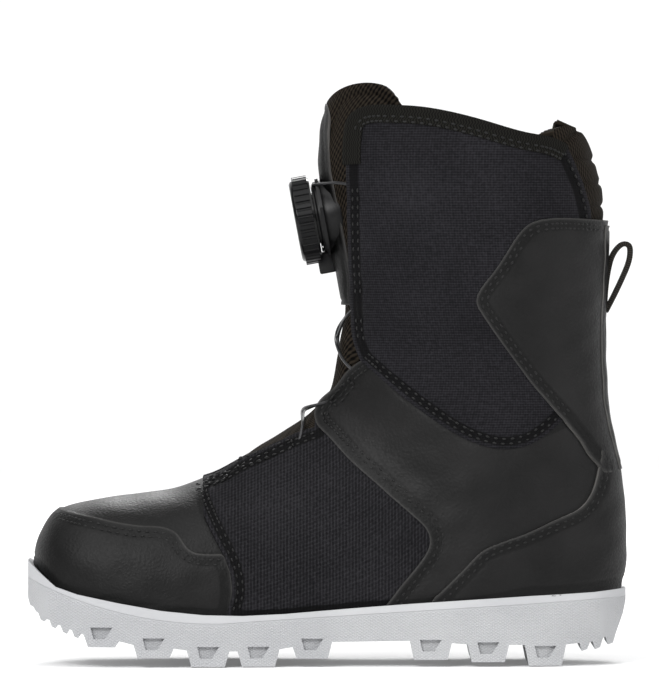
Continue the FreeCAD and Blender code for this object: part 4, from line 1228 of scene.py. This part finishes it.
# %% Binding along the top
top = smooth_line(TOP_LINE, 1.0)
flap = smooth_line(FLAP_EDGE, 1.0)
flap_part = flap[flap[:, 1] > 206]
edge_line = np.concatenate([flap_part[::-1], top[1:]])
inner_line = offset_line(edge_line, -6.4)
binding_loop = np.concatenate([offset_line(edge_line, 0.9), inner_line[::-1]])


def taped(inside, _):
    """The tape's folded edge stands up and its inner side is flat."""
    return 0.5 * np.exp(-((inside - 1.1) / 1.0) ** 2) - 0.15


for word, side in SIDES:
    tape = surface_sheet(f"top_binding_{word}", binding_loop, (0.7, 1.0), side_range(side, 0.05, 1.0), -1.75,
                         [BINDING, BINDING], cell=0.9, relief=taped)
    thicken(tape, 3.6, round_by=1.2, segments=3)
    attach(tape, "boot")

# %% [markdown]
# ## Rows of stitches
# Every seam has two rows, 2 mm apart, along the edge of the panel on top. The rows take the seam
# tables as they are and move them sideways. How far they are lifted depends on how high that
# panel lies, less the depth of its sunk channel, so the thread sits in the channel.

# %% Rows of stitches
pair = (2.2, 4.2)
stitch_rows("stitches_toe", [(TOE_SEAM, -row) for row in pair], lift=-0.35)
fore_seams = [(FOREFOOT_FRONT[:-1], row) for row in pair] + [(THROAT, row) for row in pair]
stitch_rows("stitches_forefoot", fore_seams, lift=0.2)
stitch_rows("stitches_quarter", [(QUARTER_FRONT[:-1], 3.4), (QUARTER_FRONT[:-1], 5.4), (QUARTER_TOP, 2.2),
                                 (QUARTER_TOP, 4.2)], lift=0.7)
stitch_rows("stitches_shaft_low", [(SHAFT_LOW, row) for row in pair], lift=1.05)
flap_rows = [[p for p in flap if low <= p[1] <= high] for low, high in ((206, 220), (152, 198), (131.6, 144))]
stitch_rows("stitches_flap", [(rows, shift) for rows in flap_rows for shift in pair], lift=1.05)
stitch_rows("stitches_top", [(TOP_LINE, -3.4), (TOP_LINE, -5.4)], lift=1.9)
stitch_rows("stitches_ankle", [(ANKLE[:-2], row) for row in pair], lift=1.8)
stitch_rows("stitches_counter", [(COUNTER_TOP[1:-1], row) for row in pair], lift=1.8)
stitch_rows("stitches_collar", [(COLLAR_EDGE[1:], -2.0)], lift=1.4)
print("stitches sewn")

# %% [markdown]
# ## Dial
# The dial winds the lace: a glossy knob with a ribbed rubber grip on a satin nylon housing. Its
# CAD parts have the right shapes already, so they stay and get real finishes. What they lack is
# the rubber pad that the housing stands on. It is a wide low cone with a softened edge, turned to
# the dial's axis, and a small block below it stands for the guide that the lace comes out of.

# %% Dial finishes
refinish(DIAL_GLOSS, "dial_knob")
refinish(DIAL_GRIP, "dial_grip")
refinish(STEEL, "dial_screw")
refinish(NYLON, "dial_housing", "spool", "drive_disc")
print("dial grip across, in mm:", round((grip_high.z - grip_low.z) / MM, 1))

# %% Pad that carries the dial on the tongue
DIAL_AT = Vector(to_frame(np.array([-6.2, 0.0, 184.5])))
DIAL_OUT = Vector((-0.983, 0.0, -0.182))
MOUNT_R = 15.0
MOUNT_DEEP = 10.5
MOUNT_FLARE = 0.8
MOUNT_BACK = 1.2
GUIDE_SIZE = (4.2, 9.0, 7.0)
GUIDE_AT = (-1.4, 0.0, 166.2)


def dial_mount():
    """A rubber pad behind the housing, and the little guide below it that the lace comes out of."""
    bm = bmesh.new()
    turn = DIAL_OUT.to_track_quat("Z", "Y").to_matrix().to_4x4()
    middle = DIAL_AT - DIAL_OUT * (MOUNT_DEEP / 2 + MOUNT_BACK) * MM
    bmesh.ops.create_cone(bm, cap_ends=True, segments=56, radius1=(MOUNT_R + MOUNT_FLARE) * MM,
                          radius2=MOUNT_R * MM, depth=MOUNT_DEEP * MM,
                          matrix=Matrix.Translation(middle) @ turn)
    size = Matrix.Diagonal((*(MM * side for side in GUIDE_SIZE), 1.0))
    guide = Matrix.Translation(to_frame(np.array(GUIDE_AT))) @ turn @ size
    bmesh.ops.create_cube(bm, size=1.0, matrix=guide)
    sharp = [edge for edge in bm.edges if edge.calc_face_angle(0.0) > math.radians(40)]
    bmesh.ops.bevel(bm, geom=sharp, offset=0.8 * MM, segments=3, profile=0.5, affect="EDGES", material=-1)
    bmesh.ops.recalc_face_normals(bm, faces=bm.faces)
    return finish_mesh("dial_mount", bm, [NYLON])


mount = dial_mount()
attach(mount, "tongue")
print("dial mount", len(mount.data.polygons), "faces")

# %% [markdown]
# ## Lace
# The lace is a thin coated steel cable. It leaves the dial through the housing, runs inside the
# shaft, comes out at the flaps, crosses the tongue, and goes back in through sewn guides. Only
# the stretches that can be seen are drawn, each as one smooth NURBS curve with a round bevel: a
# mesh tube bent at each point would look like wire. The crossing strands lie on the tongue, and
# each upper one is split at the middle.

# %% Visible stretches of lace
LACE_RADIUS = 0.62


def wire(name, points):
    """A smooth wire along points of the boot's own frame, as a mesh."""
    curve = bpy.data.curves.new(name, "CURVE")
    curve.dimensions = "3D"
    spline = curve.splines.new("NURBS")
    spline.points.add(len(points) - 1)
    for at, p in zip(spline.points, to_frame(np.array(points, float))):
        at.co = (*p, 1.0)
    spline.order_u = 3
    spline.use_endpoint_u = True
    curve.bevel_depth = LACE_RADIUS * MM
    curve.bevel_resolution = 3
    curve.resolution_u = 10
    curve.use_fill_caps = True
    drawn = bpy.data.objects.new(name + "_curve", curve)
    bpy.context.scene.collection.objects.link(drawn)
    bpy.context.view_layer.update()
    mesh = bpy.data.meshes.new_from_object(drawn.evaluated_get(bpy.context.evaluated_depsgraph_get()))
    bpy.data.objects.remove(drawn)
    mesh.name = name
    mesh.materials.clear()
    mesh.materials.append(LACE_COAT)
    for polygon in mesh.polygons:
        polygon.use_smooth = True
    piece = bpy.data.objects.new(name, mesh)
    bpy.context.scene.collection.objects.link(piece)
    return piece


def skin(x, z, side, inset):
    """A point below the upper's surface, or above it if the inset is under nought."""
    return tuple(on_side(x, z, side, -inset)[0])


def crest_point(height, inset):
    """A point below or above the crest line at a height, where a lace crosses it."""
    at = np.interp(height, CREST[:, 2], np.linspace(0, 1, len(CREST)))
    return tuple(upper(at, 0.0, inset))


def halves(piece, word):
    """Splits a strand that crosses the tongue at the middle into two halves, one on each side."""
    for side_word, side in SIDES:
        bm = bmesh.new()
        bm.from_mesh(piece.data)
        everything = bm.verts[:] + bm.edges[:] + bm.faces[:]
        bmesh.ops.bisect_plane(bm, geom=everything, plane_co=(0, SHIFT[1] * MM, 0), plane_no=(0, -side, 0),
                               clear_outer=True)
        bmesh.ops.holes_fill(bm, edges=[edge for edge in bm.edges if edge.is_boundary])
        half = finish_mesh(f"lace_upper_{word}_{side_word}_half", bm, [LACE_COAT])
        to_frame(np.array([8.0, 26.0 * side, 134.0]))
        to_frame(np.array([8.0, 9.0 * side, 134.0]))
        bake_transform(half)
    bpy.data.objects.remove(piece)


LIFT_OVER = 0.9
for word, side in SIDES:
    lift = LIFT_OVER if side > 0 else 0.0
    start = wire(f"lace_exit_{word}",
                 [(-7.16, 4 * side, 198.3), (-6.9, 11.5 * side, 198.5), skin(0.5, 199.2, side, -1.6),
                  skin(5.2, 199.4, side, -1.5), skin(9.6, 198.0, side, 0.4)])
    to_frame(np.array([7.0, 30 * side, 199.0]))
    to_frame(np.array([-6.0, 10 * side, 199.0]))
    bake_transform(start)
    other = -side
    high = wire(f"lace_upper_{word}",
                [skin(12.0, 149.0, side, 0.4), skin(9.4, 146.0, side, -1.3), skin(7.0, 142.6, side, -1.2),
                 skin(5.2, 139.0, side, -0.9 - lift), crest_point(134.6, -0.8 - lift),
                 skin(4.4, 131.5, other, -0.9 - lift), skin(6.0, 126.2, other, -1.2),
                 skin(9.0, 122.4, other, -0.9), skin(12.0, 119.5, other, 0.6)])
    crossing = np.array(on_side(-10.6, 103.5, other, 1.3 + lift)[0]) * (1, 0.2, 1)
    low = wire(f"lace_lower_{word}",
               [skin(2.6, 109.8, other, 0.8), skin(-2.9, 107.0, other, -0.9),
                skin(-7.4, 105.0, other, -1.2 - lift), tuple(crossing), skin(-10.6, 99.4, side, -1.2 - lift),
                skin(-11.6, 94.9, side, -0.8), skin(-13.5, 91.5, side, 0.9)])
    halves(high, word)
    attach(low, "boot")
    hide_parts("lace")
print("lace drawn")

# %% [markdown]
# ## Stitched boxes over the lace guides
# Where the lace runs under the leather, a box of stitches holds its guide down. The guide tubes
# themselves are CAD nodes of the right shape. The boxes are rows like any other, along four short
# straight lines.

# %% Stitched boxes over the lace guides
def stitched_box(name, corners, lift):
    """Four straight rows of stitches round a guide."""
    ring = [np.array(c) for c in corners + corners[:1]]
    rows = [([a, (a + b) / 2, b], 0.0) for a, b in zip(ring[:-1], ring[1:])]
    stitch_rows(name, rows, lift=lift)


stitched_box("stitches_quarter_box", [(7.6, 117.4), (11.0, 115.4), (3.6, 106.2), (0.4, 108.2)], 1.1)
stitched_box("stitches_slot", [(-38.7, 83.6), (-16.0, 92.6), (-14.9, 89.4), (-37.4, 80.6)], 0.65)
stitched_box("stitches_toe_slot", [(-50.6, 76.4), (-43.4, 79.6), (-42.2, 76.8), (-49.4, 73.6)], 0.65)

refinish(STRAP, "lace_guides_medial", "lace_guides_lateral")
print("guides finished")

# %% [markdown]
# ## Pull loop
# A short length of webbing, folded double and held to the backstay by a bar tack, to pull the
# boot on by. It is flat tape, so it is a thin strip laid along its path in side view, then given
# thickness and soft edges. It swings on its tack, so it rides on its own body, and the patch that
# holds it stays on the boot.

# %% Pull loop of folded webbing, swinging on its bar tack
LOOP = [(114.6, 145.6), (116.6, 149.4), (119.3, 154.8), (122.0, 160.6), (124.2, 166.2), (124.9, 170.8),
        (124.2, 173.4), (122.2, 173.9), (119.9, 172.5), (117.6, 169.2), (116.1, 164.5), (115.0, 158.0),
        (114.4, 151.0), (114.3, 145.8)]
PATCH = [(114.9, 149.0), (114.2, 144.5), (114.2, 138.0), (114.2, 131.0)]


def strap(name, path, width, thickness):
    """Flat webbing along a path in side view: a thin strip given thickness, with soft edges."""
    line = smooth_line(path, 1.0)
    bm = bmesh.new()
    bmesh.ops.create_grid(bm, x_segments=len(line) - 1, y_segments=8, size=0.5)
    uv = bm.loops.layers.uv.new("cloth")
    bm.verts.index_update()
    for vert in bm.verts:
        at = (vert.co.x + 0.5) * (len(line) - 1)
        i = min(int(at), len(line) - 2)
        x, z = line[i] + (line[i + 1] - line[i]) * (at - i)
        across = vert.co.y * width
        for corner in vert.link_loops:
            corner[uv].uv = at * MM, across * MM
        vert.co = to_frame(np.array([x, across, z]))
    bmesh.ops.recalc_face_normals(bm, faces=bm.faces)
    piece = finish_mesh(name, bm, [STRAP, STRAP])
    modifier(piece, "SOLIDIFY", thickness=thickness * MM, offset=0.0, use_even_offset=True)
    modifier(piece, "BEVEL", width=0.4 * MM, segments=2, limit_method="ANGLE", angle_limit=math.radians(50))
    print(name, len(piece.data.polygons), "faces")
    return piece


loop = strap("pull_loop", LOOP, 11.0, 2.1)
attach(loop, "loop")
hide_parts("pull_loop")
anchor = strap("loop_anchor", PATCH, 11.5, 1.3)
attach(anchor, "boot")
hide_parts("loop_anchor")

# %% [markdown]
# ## Floor and backdrop
# Product pictures are taken on a paper sweep, a sheet that runs along the floor and curves up
# behind, so no corner shows. It is a grid whose far rows are lifted along a quarter circle. The
# paper glows very faintly, which evens out the shade between its floor and its wall. Two planes
# would be simpler, but their corner would show as a line.

# %% Floor and backdrop
PAPER_HALF = 15.0
SWEEP_AT = 5.0
SWEEP_R = 2.0
FLOOR_GAP = 0.0004


def paper_sweep():
    """A pale floor that sweeps up into a wall."""
    pale = Paint("pale_paper", Roughness=0.9, Specular_IOR_Level=0.0, Emission_Color=(1, 1, 1, 1),
                 Emission_Strength=0.13)
    where = pale.place()
    pale.feed("Base Color", pale.mix(pale.noise(where, 8.0, 2.0), grey(0.87), grey(0.89)))
    bm = bmesh.new()
    bmesh.ops.create_grid(bm, x_segments=4, y_segments=90, size=PAPER_HALF)
    for vert in bm.verts:
        past = vert.co.y - SWEEP_AT
        if past > 0:
            turn = min(past / SWEEP_R, math.pi / 2)
            rise = max(0.0, past - SWEEP_R * math.pi / 2)
            vert.co.y = SWEEP_AT + SWEEP_R * math.sin(turn)
            vert.co.z = SWEEP_R * (1 - math.cos(turn)) + rise
        vert.co.z -= FLOOR_GAP
    finish_mesh("floor", bm, [pale.material])


paper_sweep()
print("paper sweep of", 2 * PAPER_HALF, "m")

# %% [markdown]
# ## Light
# Black leather shows its shape only by soft reflections, and a hard lamp would leave small white
# spots on it. So most light comes from one very wide soft source above and an even pale room,
# and four weak round softboxes add a broad sheen at the front, the heel, the back and the wall.

# %% Light
ROOM_LIGHT = 0.18
SKY_LIGHT = 2.2
SIDE_LIGHTS = (("key_box", (-0.45, -1.3, 0.75), 0.5, 10.0), ("heel_box", (1.1, -0.5, 0.5), 0.4, 2.5),
               ("back_box", (0.2, 1.2, 0.8), 0.6, 3.0), ("wall_box", (0.0, 2.2, 1.6), 0.8, 25.0))
LIT_AT = Vector((0, 0, 0.12))


def lamp(name, kind, energy):
    """Adds a lamp, and returns its object and its data."""
    data = bpy.data.lights.new(name, kind)
    data.energy = energy
    made = bpy.data.objects.new(name, data)
    bpy.context.scene.collection.objects.link(made)
    return made, data


world = bpy.data.worlds.new("studio")
bpy.context.scene.world = world
world.use_nodes = True
back = world.node_tree.nodes["Background"]
back.inputs["Color"].default_value = (1.0, 1.0, 1.0, 1)
back.inputs["Strength"].default_value = ROOM_LIGHT
sky, sky_data = lamp("soft_sky", "SUN", SKY_LIGHT)
sky_data.angle = math.radians(70)
sky.rotation_euler = (math.radians(28), math.radians(-10), 0)
for name, place, size, power in SIDE_LIGHTS:
    box, box_data = lamp(name, "AREA", power)
    box_data.shape = "DISK"
    box_data.size = size
    box.location = place
    box.rotation_euler = (LIT_AT - Vector(place)).to_track_quat("-Z", "Y").to_euler()
bpy.context.scene.view_settings.view_transform = "Standard"
print(len(SIDE_LIGHTS), "softboxes placed")

# %% [markdown]
# ## Camera
# The boot is seen square from its side, almost level with its middle. A long lens from far away
# keeps the side view true, with hardly any perspective. A shorter lens close by would show more
# of the toe's front than the side view should.

# %% Camera
DISTANCE = 3.8139
TILT = math.radians(0.6)
LOOK_AT = Vector((SHIFT[0] * MM, 0.0, 0.1312))
sight = bpy.data.cameras.new("camera")
sight.lens = 500.0
sight.sensor_width = 36.0
sight.sensor_fit = "HORIZONTAL"
sight.dof.use_dof = False
sight.clip_end = 100.0
camera = bpy.data.objects.new("camera", sight)
bpy.context.scene.collection.objects.link(camera)
camera.location = LOOK_AT + Vector((0, -math.cos(TILT), math.sin(TILT))) * DISTANCE
camera.rotation_euler = (LOOK_AT - camera.location).to_track_quat("-Z", "Y").to_euler()
bpy.context.scene.camera = camera
print("camera at", [round(v, 3) for v in camera.location])

# %% [markdown]
# ## Finish

# %% Finish
print("finished")
